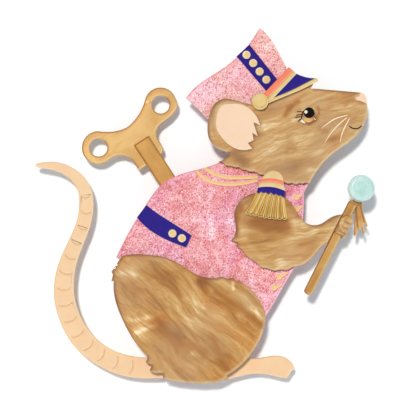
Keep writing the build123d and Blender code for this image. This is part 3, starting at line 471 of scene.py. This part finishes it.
HAUNCH_PATCHES = [
    (-19.9, -15.6, 2.8, 0.12), (-18.3, -14.0, 1.6, 0.08), (-20.1, -24.3, 1.9, 0.10),
    (-16.3, -25.8, 2.4, 0.07), (-17.9, -27.3, 2.4, 0.11), (-10.6, -21.5, 4.5, 0.05),
    (-6.6, -24.3, 3.5, 0.05), (-6.8, -31.5, 1.5, 0.09), (5.8, -23.1, 1.4, 0.12),
    (1.1, -17.8, 0.9, 0.12), (-12.6, -27.0, 4.5, -0.08), (-10.6, -30.3, 4.0, -0.08),
    (-4.6, -17.3, 2.0, -0.10), (-0.6, -21.3, 4.0, -0.05), (-2.1, -32.5, 4.0, -0.06),
    (1.2, -26.8, 5.0, -0.04), (-17.1, -19.0, 2.2, -0.05),
]
# The dark patch at (8.6, 18.2) is painted shade under the visor.
HEAD_PATCHES = [
    (8.4, 13.2, 4.0, 0.05), (9.4, 8.7, 3.5, 0.05), (16.1, 10.2, 4.0, 0.08), (19.4, 8.7, 2.6, 0.12),
    (25.6, 13.2, 2.6, 0.06), (16.9, 4.7, 2.0, 0.12), (4.9, 5.7, 2.0, 0.08), (-3.0, 12.0, 1.6, 0.06),
    (2.9, 6.7, 2.8, -0.16), (1.7, 7.8, 2.0, -0.10), (12.9, 5.0, 4.0, -0.16),
    (15.6, 8.2, 2.2, -0.07), (11.5, 16.3, 0.6, -0.12), (11.7, 16.9, 0.6, -0.12),
    (12.1, 17.5, 0.6, -0.12), (12.6, 18.1, 0.6, -0.12), (13.2, 18.6, 0.6, -0.12),
    (13.9, 19.0, 0.6, -0.10), (20.9, 11.2, 1.1, -0.15), (7.5, 13.1, 1.5, 0.06),
    (9.5, 13.7, 1.4, 0.05), (11.5, 14.3, 1.3, 0.05), (13.3, 14.9, 1.2, 0.05),
    (8.6, 18.2, 3.2, -0.08), (-2.6, 18.6, 1.6, -0.12), (0.8, 19.0, 1.4, -0.10),
    (6.2, 12.4, 1.6, -0.08), (1.0, 9.2, 2.0, -0.10),
]
# The dark patches at (8.6, -5.6), (5.7, -5.3) and (10.9, -5.8) are a painted shadow under the fringe, and
# the small dark ones from (1.7, -6.6) to (6.1, -0.8) and at (1.4, -3.8) are painted shade along the arm's
# rim that leans up and left.
ARM_PATCHES = [
    (2.7, -7.2, 1.8, 0.10), (3.6, -1.7, 1.9, 0.14), (14.5, -6.3, 2.6, 0.12),
    (20.6, -6.4, 3.0, 0.10), (22.4, -5.2, 1.0, 0.10), (10.4, -13.4, 1.8, 0.10),
    (17.0, -7.2, 2.4, 0.06), (12.5, -5.0, 1.5, 0.08), (8.6, -5.6, 3.2, -0.20),
    (5.7, -5.3, 2.6, -0.14), (10.9, -5.8, 2.6, -0.16), (7.6, -6.3, 1.6, -0.05),
    (1.7, -6.6, 1.0, -0.12), (1.9, -4.6, 1.0, -0.14), (2.7, -2.8, 1.0, -0.15),
    (4.2, -1.5, 1.0, -0.15), (6.1, -0.8, 1.1, -0.16), (5.0, -10.0, 3.0, -0.06),
    (12.6, -1.9, 1.6, -0.14), (16.4, -11.0, 2.6, -0.08), (22.9, -5.7, 0.5, -0.10),
    (22.3, -6.6, 0.6, -0.12), (1.4, -3.8, 0.8, -0.10),
]
HAUNCH_STROKES = [
    (-14.7, -25.9, -5.0, -31.7, 2.6, -0.09), (-16.0, -18.8, -8.9, -28.1, 0.5, -0.10),
    (-21.4, -15.2, -18.3, -16.1, 1.0, 0.14), (-19.6, -25.0, -15.2, -24.1, 0.9, 0.13),
    (-18.7, -27.7, -14.7, -25.9, 0.8, 0.13), (-5.8, -17.4, -4.0, -19.2, 1.1, -0.10),
    (1.1, -17.5, 1.3, -19.0, 0.45, 0.15), (4.8, -22.8, 6.2, -24.6, 0.9, 0.12),
    (-7.2, -31.2, -5.8, -32.1, 0.7, 0.10), (-2.3, -19.7, 7.1, -26.3, 0.8, -0.09),
    (-9.0, -20.5, -1.0, -24.0, 0.9, 0.05),
]
HEAD_STROKES = [
    (6.4, 13.4, 14.0, 15.2, 1.2, 0.05), (7.2, 11.2, 14.8, 12.8, 1.3, 0.04),
    (6.8, 15.2, 13.6, 17.6, 1.3, -0.07), (4.4, 6.4, 10.4, 10.4, 0.8, 0.06),
    (10.4, 10.4, 18.0, 12.8, 0.8, 0.05), (8.4, 8.8, 16.4, 11.2, 0.6, 0.04),
    (0.4, 8.0, 5.6, 5.6, 1.5, -0.09), (18.0, 16.0, 24.4, 17.6, 1.1, 0.04),
    (19.6, 11.2, 22.8, 12.0, 1.0, -0.07), (8.4, 4.0, 16.4, 7.2, 1.4, -0.05),
    (12.0, 9.6, 19.0, 9.8, 0.5, -0.07), (7.0, 7.6, 12.0, 9.0, 0.4, -0.08),
]
# The dark stroke from (3.2, -4.8) to (11.6, -6.4) is a painted shadow under the fringe.
ARM_STROKES = [
    (2.4, -1.6, 4.8, -1.2, 1.1, 0.10), (3.2, -4.8, 11.6, -6.4, 2.0, -0.10),
    (11.6, -9.2, 17.6, -6.8, 0.9, 0.07), (3.2, -8.8, 6.4, -12.4, 1.1, 0.04),
    (9.6, -14.4, 14.4, -12.4, 0.8, 0.08), (6.0, -10.0, 12.0, -11.0, 0.5, -0.06),
    (15.0, -6.0, 20.0, -4.4, 0.8, 0.06),
]
HAUNCH_STAINS = [
    (-2.3, -19.7, 7.1, -26.3, 1.3, 0.6), (-4.0, -22.0, 5.0, -28.5, 0.8, 0.35),
    (-3.2, -28.6, -1.0, -34.4, 1.5, 0.4), (-14.7, -26.4, -5.0, -31.7, 2.4, 0.45),
    (-12.0, -22.0, -6.0, -29.0, 0.6, 0.4), (-16.0, -17.0, -9.0, -15.0, 0.8, 0.3),
    (-22.5, -20.0, -21.0, -26.0, 0.8, 0.4),
]
HEAD_STAINS = [
    (11.5, 16.2, 12.2, 17.7, 1.1, 0.75), (12.2, 17.7, 13.8, 19.0, 1.0, 0.7),
    (12.1, 17.2, 12.7, 18.1, 0.7, 0.7), (20.0, 10.9, 22.0, 11.4, 1.0, 0.6),
    (18.3, 13.3, 19.6, 12.6, 0.9, 0.4), (17.2, 17.6, 17.9, 16.9, 0.4, 0.5),
    (4.6, 17.2, 9.0, 17.0, 1.2, 0.2), (14.9, 14.75, 16.2, 14.25, 0.5, 0.7),
    (16.2, 14.25, 17.6, 14.95, 0.5, 0.8), (17.6, 14.95, 18.0, 16.2, 0.45, 0.7),
    (18.0, 16.2, 17.7, 17.5, 0.45, 0.6), (14.0, 13.9, 14.6, 14.6, 0.4, 0.3),
    (24.0, 17.4, 26.0, 17.2, 0.5, 0.3), (-2.8, 17.0, -2.9, 12.0, 0.6, 0.3),
    (18.0, 16.8, 21.5, 16.7, 0.35, 0.4),
]
# Brown strokes: the first three are painted shade along the arm's rim that leans up and left, the fourth
# a painted shadow under the fringe.
ARM_STAINS_AND_SHADE = [
    (1.3, -7.5, 1.5, -4.6, 1.3, 0.85), (1.5, -4.6, 2.7, -2.3, 1.3, 0.85),
    (2.7, -2.3, 5.0, -0.6, 1.2, 0.8), (5.4, -5.2, 11.0, -5.8, 2.4, 0.6),
    (11.6, -1.2, 14.0, -4.0, 0.9, 0.5), (14.0, -4.2, 18.0, -4.0, 0.8, 0.4),
    (4.2, -8.4, 6.6, -8.6, 0.6, 0.4), (14.6, -9.6, 17.6, -8.4, 0.7, 0.4),
]
# The lighter strokes are painted highlights on the knuckles, the darker ones painted shade in the creases
# between the fingers.
FINGER_STROKES = [
    (22.9, -4.6, 23.3, -6.4, 0.5, 0.09), (22.7, -6.0, 22.9, -7.4, 0.5, 0.09),
    (23.9, -4.6, 24.3, -5.0, 0.4, 0.09), (23.1, -5.1, 24.5, -5.65, 0.28, -0.16),
    (22.7, -6.1, 24.0, -6.65, 0.28, -0.16), (22.3, -7.0, 23.5, -7.6, 0.28, -0.16),
    (21.2, -6.9, 22.5, -7.9, 0.35, -0.14),
]
# Painted shade: brown in the creases between the fingers.
FINGER_CREASE_SHADE = [
    (23.1, -5.1, 24.5, -5.65, 0.3, 0.6), (22.7, -6.1, 24.0, -6.65, 0.3, 0.6),
    (22.3, -7.0, 23.5, -7.6, 0.3, 0.6), (21.1, -7.1, 22.6, -8.2, 0.4, 0.8),
]
JACKET_STROKES = [
    (3.4, -13.4, 6.2, -20.0, 1.3, 0.10), (0.6, -5.2, 1.0, -9.8, 1.8, 0.10),
    (-4.0, -3.0, -2.4, -8.0, 1.0, 0.06), (-9.0, -13.0, -4.0, -14.5, 1.4, -0.06),
    (4.0, -15.5, 8.0, -17.0, 1.0, -0.06), (-14.0, 2.0, -8.0, 0.0, 1.2, -0.05),
]
JACKET_PATCHES = [
    (-0.8, -5.0, 5.0, 0.04), (1.0, -11.2, 4.0, -0.07), (-18.0, -9.0, 4.0, 0.06),
    (9.5, -20.5, 4.0, 0.06), (-6.5, -4.5, 3.5, 0.05), (-2.5, -8.0, 3.5, 0.08),
    (2.0, 4.9, 3.6, -0.10), (5.0, 4.4, 2.2, -0.08), (12.5, 1.3, 2.2, -0.14),
    (14.2, -1.4, 1.3, -0.10), (-10.0, -1.5, 5.0, -0.05), (-5.0, -12.0, 5.0, -0.05),
]
CROWN_PATCHES = [
    (-3.0, 21.0, 5.0, 0.05), (-2.0, 17.5, 2.5, 0.04), (8.0, 29.5, 3.5, 0.03),
    (-3.2, 18.2, 1.8, -0.10), (1.5, 20.0, 2.0, -0.06), (-0.5, 19.8, 1.8, -0.08),
]
JACKET_PINKS = [
    (0.30, srgb(196, 90, 102)), (0.42, srgb(219, 130, 141)), (0.50, srgb(230, 154, 166)),
    (0.60, srgb(239, 179, 191)), (0.74, srgb(252, 226, 234)),
]
CROWN_PINKS = [
    (0.30, srgb(222, 134, 132)), (0.44, srgb(234, 164, 162)), (0.53, srgb(238, 182, 181)),
    (0.62, srgb(244, 198, 198)), (0.78, srgb(253, 226, 224)),
]
RIBBON_FOLDS = [
    (25.7, -2.0, 26.1, -7.0, 0.28, 0.9), (26.7, -2.2, 27.5, -5.8, 0.28, 0.9),
    (25.1, -2.4, 25.3, -5.0, 0.2, 0.5), (24.8, -1.8, 27.6, -1.9, 0.35, 0.6),
]
IRIS = (16.1, 16.0, 1.4)
ORB = (26.62, 1.42, 2.6)
STUDS = {
    "strap_stud_1": (-11.1, -7.6), "strap_stud_2": (-9.2, -8.55), "hat_stud_1": (3.8, 28.4),
    "hat_stud_2": (5.15, 26.75), "hat_stud_3": (6.45, 25.05), "hat_stud_4": (7.8, 23.4),
}
STUD_RADIUS_MM = 0.8

peach = plain_acrylic("peach", srgb(229, 192, 150), srgb(221, 171, 121), 0.42, 0.22, 0.1)
ear_peach = plain_acrylic("ear_peach", srgb(232, 198, 166), srgb(227, 188, 153), 0.42, 0.22, 0.1)
pale_gold = plain_acrylic("pale_gold", srgb(230, 190, 121), srgb(210, 168, 98), 0.36, 0.6, 0.1)
trim_gold = plain_acrylic("trim_gold", srgb(219, 189, 122), srgb(198, 160, 88), 0.36, 0.6, 0.1)
dome_gold = plain_acrylic("dome_gold", srgb(217, 187, 131), srgb(200, 158, 94), 0.36, 0.6, 0.1)
navy = plain_acrylic("navy", srgb(42, 27, 123), srgb(30, 18, 105), 0.42, 0.8, 0.02, 0.4, 0.12)
coral = plain_acrylic("coral", srgb(235, 124, 85), srgb(220, 100, 65), 0.36, 0.6, 0.1)
key_gold = gold_acrylic("key_gold", srgb(198, 157, 95), srgb(180, 136, 72), 40)
shaft_gold = gold_acrylic("shaft_gold", srgb(183, 134, 61), srgb(163, 112, 44), -57, 0.5)
sceptre_gold = gold_acrylic("sceptre_gold", srgb(187, 143, 77), srgb(161, 113, 48), 63)
ribbon_gold = gold_acrylic("ribbon_gold", srgb(200, 154, 92), srgb(166, 116, 54), -85, 0.4, RIBBON_FOLDS)
eye_white = enamel("eye_white", srgb(233, 223, 210), srgb(220, 197, 175))
eye_black = plain_acrylic("eye_black", srgb(16, 9, 7), srgb(8, 5, 4), 0.3, 1.2, 0.0, 0.1, 0.0)
brown = enamel("brown", srgb(64, 34, 16), srgb(48, 25, 11))
steel = plated_steel("steel")
for dark_paint in (eye_black, navy, brown):
    shader = next(n for n in dark_paint.node_tree.nodes if n.type == "BSDF_PRINCIPLED")
    shader.inputs["Specular IOR Level"].default_value = 0.04

MATERIALS = {
    "tail": peach, "foot": peach, "inner_ear": ear_peach, "nose": ear_peach,
    "epaulette_dome": dome_gold, "epaulette_gold_stripe": dome_gold,
    "visor_trim": trim_gold, "hat_gold_stripe": trim_gold, "hat_button": trim_gold,
    "key_bow": key_gold, "key_shaft": shaft_gold,
    "sceptre_shaft": sceptre_gold, "sceptre_ribbons": ribbon_gold,
    "jacket": glitter_resin("jacket_pink", JACKET_PINKS, JACKET_PATCHES, JACKET_STROKES),
    "hat_crown": glitter_resin("crown_pink", CROWN_PINKS, CROWN_PATCHES, (), 0.42),
    "haunch": pearl_resin(
        "haunch_pearl", -44, HAUNCH_PATCHES, strokes=HAUNCH_STROKES, stains_and_shade=HAUNCH_STAINS
    ),
    "head": pearl_resin("head_pearl", 20, HEAD_PATCHES, 5.0, 0.04, 0.2, HEAD_STROKES, HEAD_STAINS),
    "arm": pearl_resin("arm_pearl", 10, ARM_PATCHES, 4.0, 0.02, 0.08, ARM_STROKES, ARM_STAINS_AND_SHADE),
    "fingers": pearl_resin(
        "finger_pearl", 30, ARM_PATCHES, 4.0, strokes=FINGER_STROKES, stains_and_shade=FINGER_CREASE_SHADE, rim=0.5
    ),
    "back_strap": navy, "hat_band": navy, "visor": navy, "epaulette_navy_band": navy,
    "hat_coral_stripe": coral, "epaulette_coral_stripe": coral,
    "eye_white": eye_white, "eye_glint": eye_white, "eye_iris": eye_amber("iris", *IRIS),
    "eye_pupil": eye_black, "eyelashes": eye_black, "mouth_line": brown,
    "sceptre_orb": mint_orb("orb_mint", *ORB),
    "orb_setting": plain_acrylic(
        "setting_mint", srgb(208, 221, 214), srgb(181, 205, 192), 0.25, 0.8, 0.4
    ),
    "pin_base_bar": steel, "hinge_rivet": steel, "pin_stem": steel, "safety_catch": steel,
}
for stud, (stud_x, stud_z) in STUDS.items():
    MATERIALS[stud] = stud_enamel(stud, stud_x, stud_z, STUD_RADIUS_MM)
for node in NODES:
    MATERIALS.setdefault(node, pale_gold)

# ---------------------------------------------------------------- polished edges of the cut pieces
WELD = 0.002 * MM
EDGE_ANGLE = math.radians(35)
POLISH = {
    "head": 0.08, "haunch": 0.2, "arm": 0.22, "hat_crown": 0.1, "tail": 0.14, "foot": 0.2,
    "key_bow": 0.3, "key_shaft": 0.15, "sceptre_shaft": 0.16, "fingers": 0.06, "sceptre_ribbons": 0.08,
    "visor": 0.08, "visor_trim": 0.08, "hat_coral_stripe": 0.08,
    "hat_gold_stripe": 0.08, "hat_button": 0.12, "epaulette_dome": 0.07, "epaulette_coral_stripe": 0.06,
    "epaulette_gold_stripe": 0.06, "epaulette_navy_band": 0.08, "back_strap": 0.04, "orb_setting": 0.1,
    "pin_base_bar": 0.08, "hinge_rivet": 0.08, "safety_catch": 0.05,
}


def carry_over(node):
    """Gives a CAD node its material and its polished edges."""
    piece = NODES[node]
    if not piece.material_slots:
        piece.data.materials.append(None)
    for material_slot in piece.material_slots:
        material_slot.material = MATERIALS[node]
    if node in POLISH:
        weld = piece.modifiers.new("weld", "WELD")
        weld.merge_threshold = WELD
        flatten = piece.modifiers.new("flatten", "DECIMATE")
        flatten.decimate_type = "DISSOLVE"
        flatten.angle_limit = math.radians(1.5)
        bevel = piece.modifiers.new("polish", "BEVEL")
        bevel.width = POLISH[node] * MM
        bevel.segments = 3
        bevel.limit_method = "ANGLE"
        bevel.angle_limit = EDGE_ANGLE
        bevel.miter_outer = "MITER_ARC"
        bevel.use_clamp_overlap = False
        normals = piece.modifiers.new("normals", "WEIGHTED_NORMAL")
        normals.weight = 100
        normals.keep_sharp = False


for node in NODES:
    carry_over(node)


# ---------------------------------------------------------------- fringe and whiskers, drawn as strands
def strand_mesh(name, strands, materials, sides=8):
    """One mesh of tapered strands. Each strand is (points, radii, material index)."""
    points, faces, slots = [], [], []
    for path, radii, material_index in strands:
        start = len(points)
        for i, (point, radius) in enumerate(zip(path, radii)):
            ahead = path[min(i + 1, len(path) - 1)]
            behind = path[max(i - 1, 0)]
            along = (ahead - behind).normalized()
            across = along.cross(Vector((0, 1, 0))).normalized()
            out = across.cross(along).normalized()
            for j in range(sides):
                turn = math.tau * j / sides
                points.append(point + (across * math.cos(turn) + out * math.sin(turn)) * radius)
        for i in range(len(path) - 1):
            for j in range(sides):
                a, b = start + i * sides + j, start + i * sides + (j + 1) % sides
                faces.append((a, b, b + sides, a + sides))
                slots.append(material_index)
        last = start + (len(path) - 1) * sides
        faces.append(tuple(start + j for j in reversed(range(sides))))
        faces.append(tuple(last + j for j in range(sides)))
        slots += [material_index, material_index]
    mesh = bpy.data.meshes.new(name)
    mesh.from_pydata(points, [], faces)
    for material in materials:
        mesh.materials.append(material)
    for polygon, material_index in zip(mesh.polygons, slots):
        polygon.material_index = material_index
        polygon.use_smooth = True
    piece = bpy.data.objects.new(name, mesh)
    bpy.context.scene.collection.objects.link(piece)
    return piece


def along(points, share):
    """The point a share of the way along a list of (x, z) points."""
    place = share * (len(points) - 1)
    i = min(int(place), len(points) - 2)
    part = place - i
    return (
        points[i][0] * (1 - part) + points[i + 1][0] * part,
        points[i][1] * (1 - part) + points[i + 1][1] * part,
    )


FRINGE_TOP = [(5.75, 0.85), (7.3, 0.95), (8.6, 0.85), (10.0, 0.5), (11.15, 0.15)]
FRINGE_FOOT = [(3.2, -3.55), (5.0, -3.95), (7.2, -4.4), (9.4, -4.65), (11.7, -4.7)]
FRINGE_STRANDS = 26
FRINGE_RADIUS = 0.17
FRINGE_RISE = 0.5
STRAND_STEPS = 12
SCALLOPS = 9
SCALLOP_STEPS = 8
SCALLOP_RADIUS = 0.07
random.seed(5)
# Three copies of one gold for the fringe: mid, a painted highlit copy and a painted shaded copy.
fringe_golds = [
    gold_acrylic("fringe_mid", srgb(234, 199, 102), srgb(208, 167, 66), -80, 0.05),
    gold_acrylic("fringe_highlit", srgb(252, 232, 162), srgb(236, 204, 122), -80, 0.05),
    gold_acrylic("fringe_shaded", srgb(196, 152, 66), srgb(166, 120, 44), -80, 0.05),
]
strands = []
fringe_layers = ((FRINGE_STRANDS, 0.0, 0.25), (FRINGE_STRANDS - 1, 0.5, 0.55))
for layer, (count, offset_share, depth) in enumerate(fringe_layers):
    for i in range(count):
        share = (i + offset_share) / (FRINGE_STRANDS - 1)
        top = along(FRINGE_TOP, share)
        foot = along(FRINGE_FOOT, min(1.0, share + random.uniform(-0.008, 0.008)))
        scallop = 0.22 * abs(math.sin(share * math.pi * SCALLOPS))
        foot = (foot[0], foot[1] + scallop - random.uniform(0.0, 0.12))
        sway = (0.5 - share) * 0.55 + random.uniform(-0.06, 0.06)
        path, radii = [], []
        for step in range(STRAND_STEPS + 1):
            t = step / STRAND_STEPS
            x = top[0] * (1 - t) + foot[0] * t + sway * math.sin(math.pi * t) * 0.6
            z = top[1] * (1 - t) + foot[1] * t
            lift = depth + FRINGE_RISE * t * t
            path.append(seen(x, z, FUR_FRONT + lift * MM))
            end_share = 0.55 if step == STRAND_STEPS else 1.0
            radii.append(FRINGE_RADIUS * MM * (0.62 + 0.45 * t) * end_share)
        # Painted light: strands alternate between the mid, highlit and shaded copies.
        tint = (0, 2, 0, 1)[i % 4] if layer else (0, 1, 2)[i % 3]
        strands.append((path, radii, tint))
for i in range(SCALLOPS):
    path, radii = [], []
    for step in range(SCALLOP_STEPS + 1):
        t = step / SCALLOP_STEPS
        x, z = along(FRINGE_FOOT, (i + t) / SCALLOPS)
        hang = z + 0.1 - 0.26 * math.sin(math.pi * t)
        path.append(seen(x, hang, FUR_FRONT + (0.62 + FRINGE_RISE) * MM))
        radii.append(SCALLOP_RADIUS * MM)
    # The scallops take the painted highlit copy.
    strands.append((path, radii, 1))
fringe = strand_mesh("fringe_strands", strands, fringe_golds)
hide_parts("epaulette_fringe")
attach(fringe, "brooch")

WHISKERS = {
    "whisker_1": [(24.1, 16.25), (21.6, 15.5), (20.0, 14.5), (18.7, 13.5)],
    "whisker_2": [(23.9, 15.75), (22.2, 14.3), (20.6, 12.5), (19.4, 10.6)],
    "whisker_3": [(24.45, 15.6), (23.5, 13.9), (22.8, 12.2), (22.5, 10.6)],
}
WHISKER_RADIUS = 0.15 * MM
WHISKER_TIP_RADIUS = 0.04 * MM
whisker_peach = plain_acrylic("whisker_peach", srgb(252, 228, 198), srgb(240, 204, 164), 0.4, 0.6, 0.1)


def smooth_path(points, steps):
    """Points along a smooth curve through a few (x, z) points."""
    padded = [points[0], *points, points[-1]]
    path = []
    for i in range(len(points) - 1):
        p0, p1, p2, p3 = padded[i : i + 4]
        for step in range(steps + (i == len(points) - 2)):
            t = step / steps
            path.append(tuple(
                b + 0.5 * t * (c - a + t * (2 * a - 5 * b + 4 * c - d + t * (3 * b - a - 3 * c + d)))
                for a, b, c, d in zip(p0, p1, p2, p3)
            ))
    return path


for node, points in WHISKERS.items():
    route = smooth_path(points, 8)
    path = [seen(x, z, FUR_FRONT + 0.08 * MM) for x, z in route]
    last = len(route) - 1
    radii = [WHISKER_RADIUS * (1.0 - 0.62 * abs(2 * i / last - 0.8) ** 1.5) for i in range(last + 1)]
    radii[0] = radii[-1] = WHISKER_TIP_RADIUS
    whisker = strand_mesh(node + "_strand", [(path, radii, 0)], [whisker_peach])
    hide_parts(node)
    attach(whisker, "brooch")

# ---------------------------------------------------------------- stage, light and camera
WALL_Y = 2.2 * MM
FLOOR_Z = -62 * MM
STAGE_HALF = 0.9


def stage_plane(name, corners, material):
    mesh = bpy.data.meshes.new(name)
    mesh.from_pydata(corners, [], [(0, 1, 2, 3)])
    mesh.materials.append(material)
    plane = bpy.data.objects.new(name, mesh)
    bpy.context.scene.collection.objects.link(plane)
    return plane


def paper_material(name, one_sided):
    """Matt white paper. One-sided paper is seen from its front only and casts no shadow."""
    paint = Paint(name)
    fibre = paint.noise(paint.place, 0.4, 3.0)
    paint.set(Base_Color=paint.mix(fibre, srgb(246, 247, 248), srgb(250, 250, 250)), Roughness=0.9)
    if one_sided:
        tree = paint.tree
        output = next(n for n in tree.nodes if n.type == "OUTPUT_MATERIAL")
        clear = tree.nodes.new("ShaderNodeBsdfTransparent")
        mixer = tree.nodes.new("ShaderNodeMixShader")
        back = tree.nodes.new("ShaderNodeNewGeometry").outputs["Backfacing"]
        shadow = tree.nodes.new("ShaderNodeLightPath").outputs["Is Shadow Ray"]
        paint.put(mixer.inputs[0], paint.sum("MAXIMUM", back, shadow))
        paint.put(mixer.inputs[1], paint.shader.outputs[0])
        paint.put(mixer.inputs[2], clear.outputs[0])
        paint.put(output.inputs["Surface"], mixer.outputs[0])
    return paint.material


wall = stage_plane(
    "wall",
    [
        (-STAGE_HALF, WALL_Y, FLOOR_Z),
        (STAGE_HALF, WALL_Y, FLOOR_Z),
        (STAGE_HALF, WALL_Y, STAGE_HALF),
        (-STAGE_HALF, WALL_Y, STAGE_HALF),
    ],
    paper_material("wall_paper", True),
)
floor = stage_plane(
    "floor",
    [
        (-STAGE_HALF, -STAGE_HALF, FLOOR_Z),
        (STAGE_HALF, -STAGE_HALF, FLOOR_Z),
        (STAGE_HALF, STAGE_HALF, FLOOR_Z),
        (-STAGE_HALF, STAGE_HALF, FLOOR_Z),
    ],
    paper_material("floor_paper", False),
)


def aim(thing, place, target):
    thing.location = place
    thing.rotation_mode = "QUATERNION"
    thing.rotation_quaternion = (Vector(target) - Vector(place)).to_track_quat("-Z", "Y")


def area_light(name, place, size, power, colour=(1, 1, 1)):
    light = bpy.data.lights.new(name, "AREA")
    light.shape = "SQUARE"
    light.size = size
    light.energy = power
    light.color = colour
    lamp = bpy.data.objects.new(name, light)
    bpy.context.scene.collection.objects.link(lamp)
    aim(lamp, place, LOOK_AT)


def sun_light(name, toward, strength, spread, colour=(1, 1, 1)):
    light = bpy.data.lights.new(name, "SUN")
    light.energy = strength
    light.angle = math.radians(spread)
    light.color = colour
    lamp = bpy.data.objects.new(name, light)
    bpy.context.scene.collection.objects.link(lamp)
    aim(lamp, -Vector(toward), (0, 0, 0))


sun_light("key", (0.17, 1.0, -0.195), 2.4, 6.0, (1.0, 0.985, 0.96))
area_light("top", (-0.10, -0.22, 0.36), 0.16, 0.05)
area_light("back_left", (-0.30, 0.45, 0.25), 0.35, 0.22)
area_light("back_right", (0.30, 0.45, 0.20), 0.35, 0.18)

world = bpy.data.worlds.new("studio")
world.use_nodes = True
world.node_tree.nodes["Background"].inputs["Color"].default_value = (0.62, 0.82, 1.0, 1.0)
world.node_tree.nodes["Background"].inputs["Strength"].default_value = 0.32
bpy.context.scene.world = world
bpy.context.scene.view_settings.view_transform = "Standard"

camera_data = bpy.data.cameras.new("camera")
camera_data.lens = LENS
camera_data.sensor_width = SENSOR
camera_data.clip_start = 0.01
camera_data.clip_end = 5.0
camera = bpy.data.objects.new("camera", camera_data)
bpy.context.scene.collection.objects.link(camera)
azimuth, elevation = math.radians(VIEW_AZIMUTH), math.radians(VIEW_ELEVATION)
toward_camera = Vector((
    math.sin(azimuth) * math.cos(elevation), -math.cos(azimuth) * math.cos(elevation), math.sin(elevation)
))
aim(camera, LOOK_AT + toward_camera * (FRAME_WIDTH * LENS / SENSOR), LOOK_AT)
bpy.context.scene.camera = camera
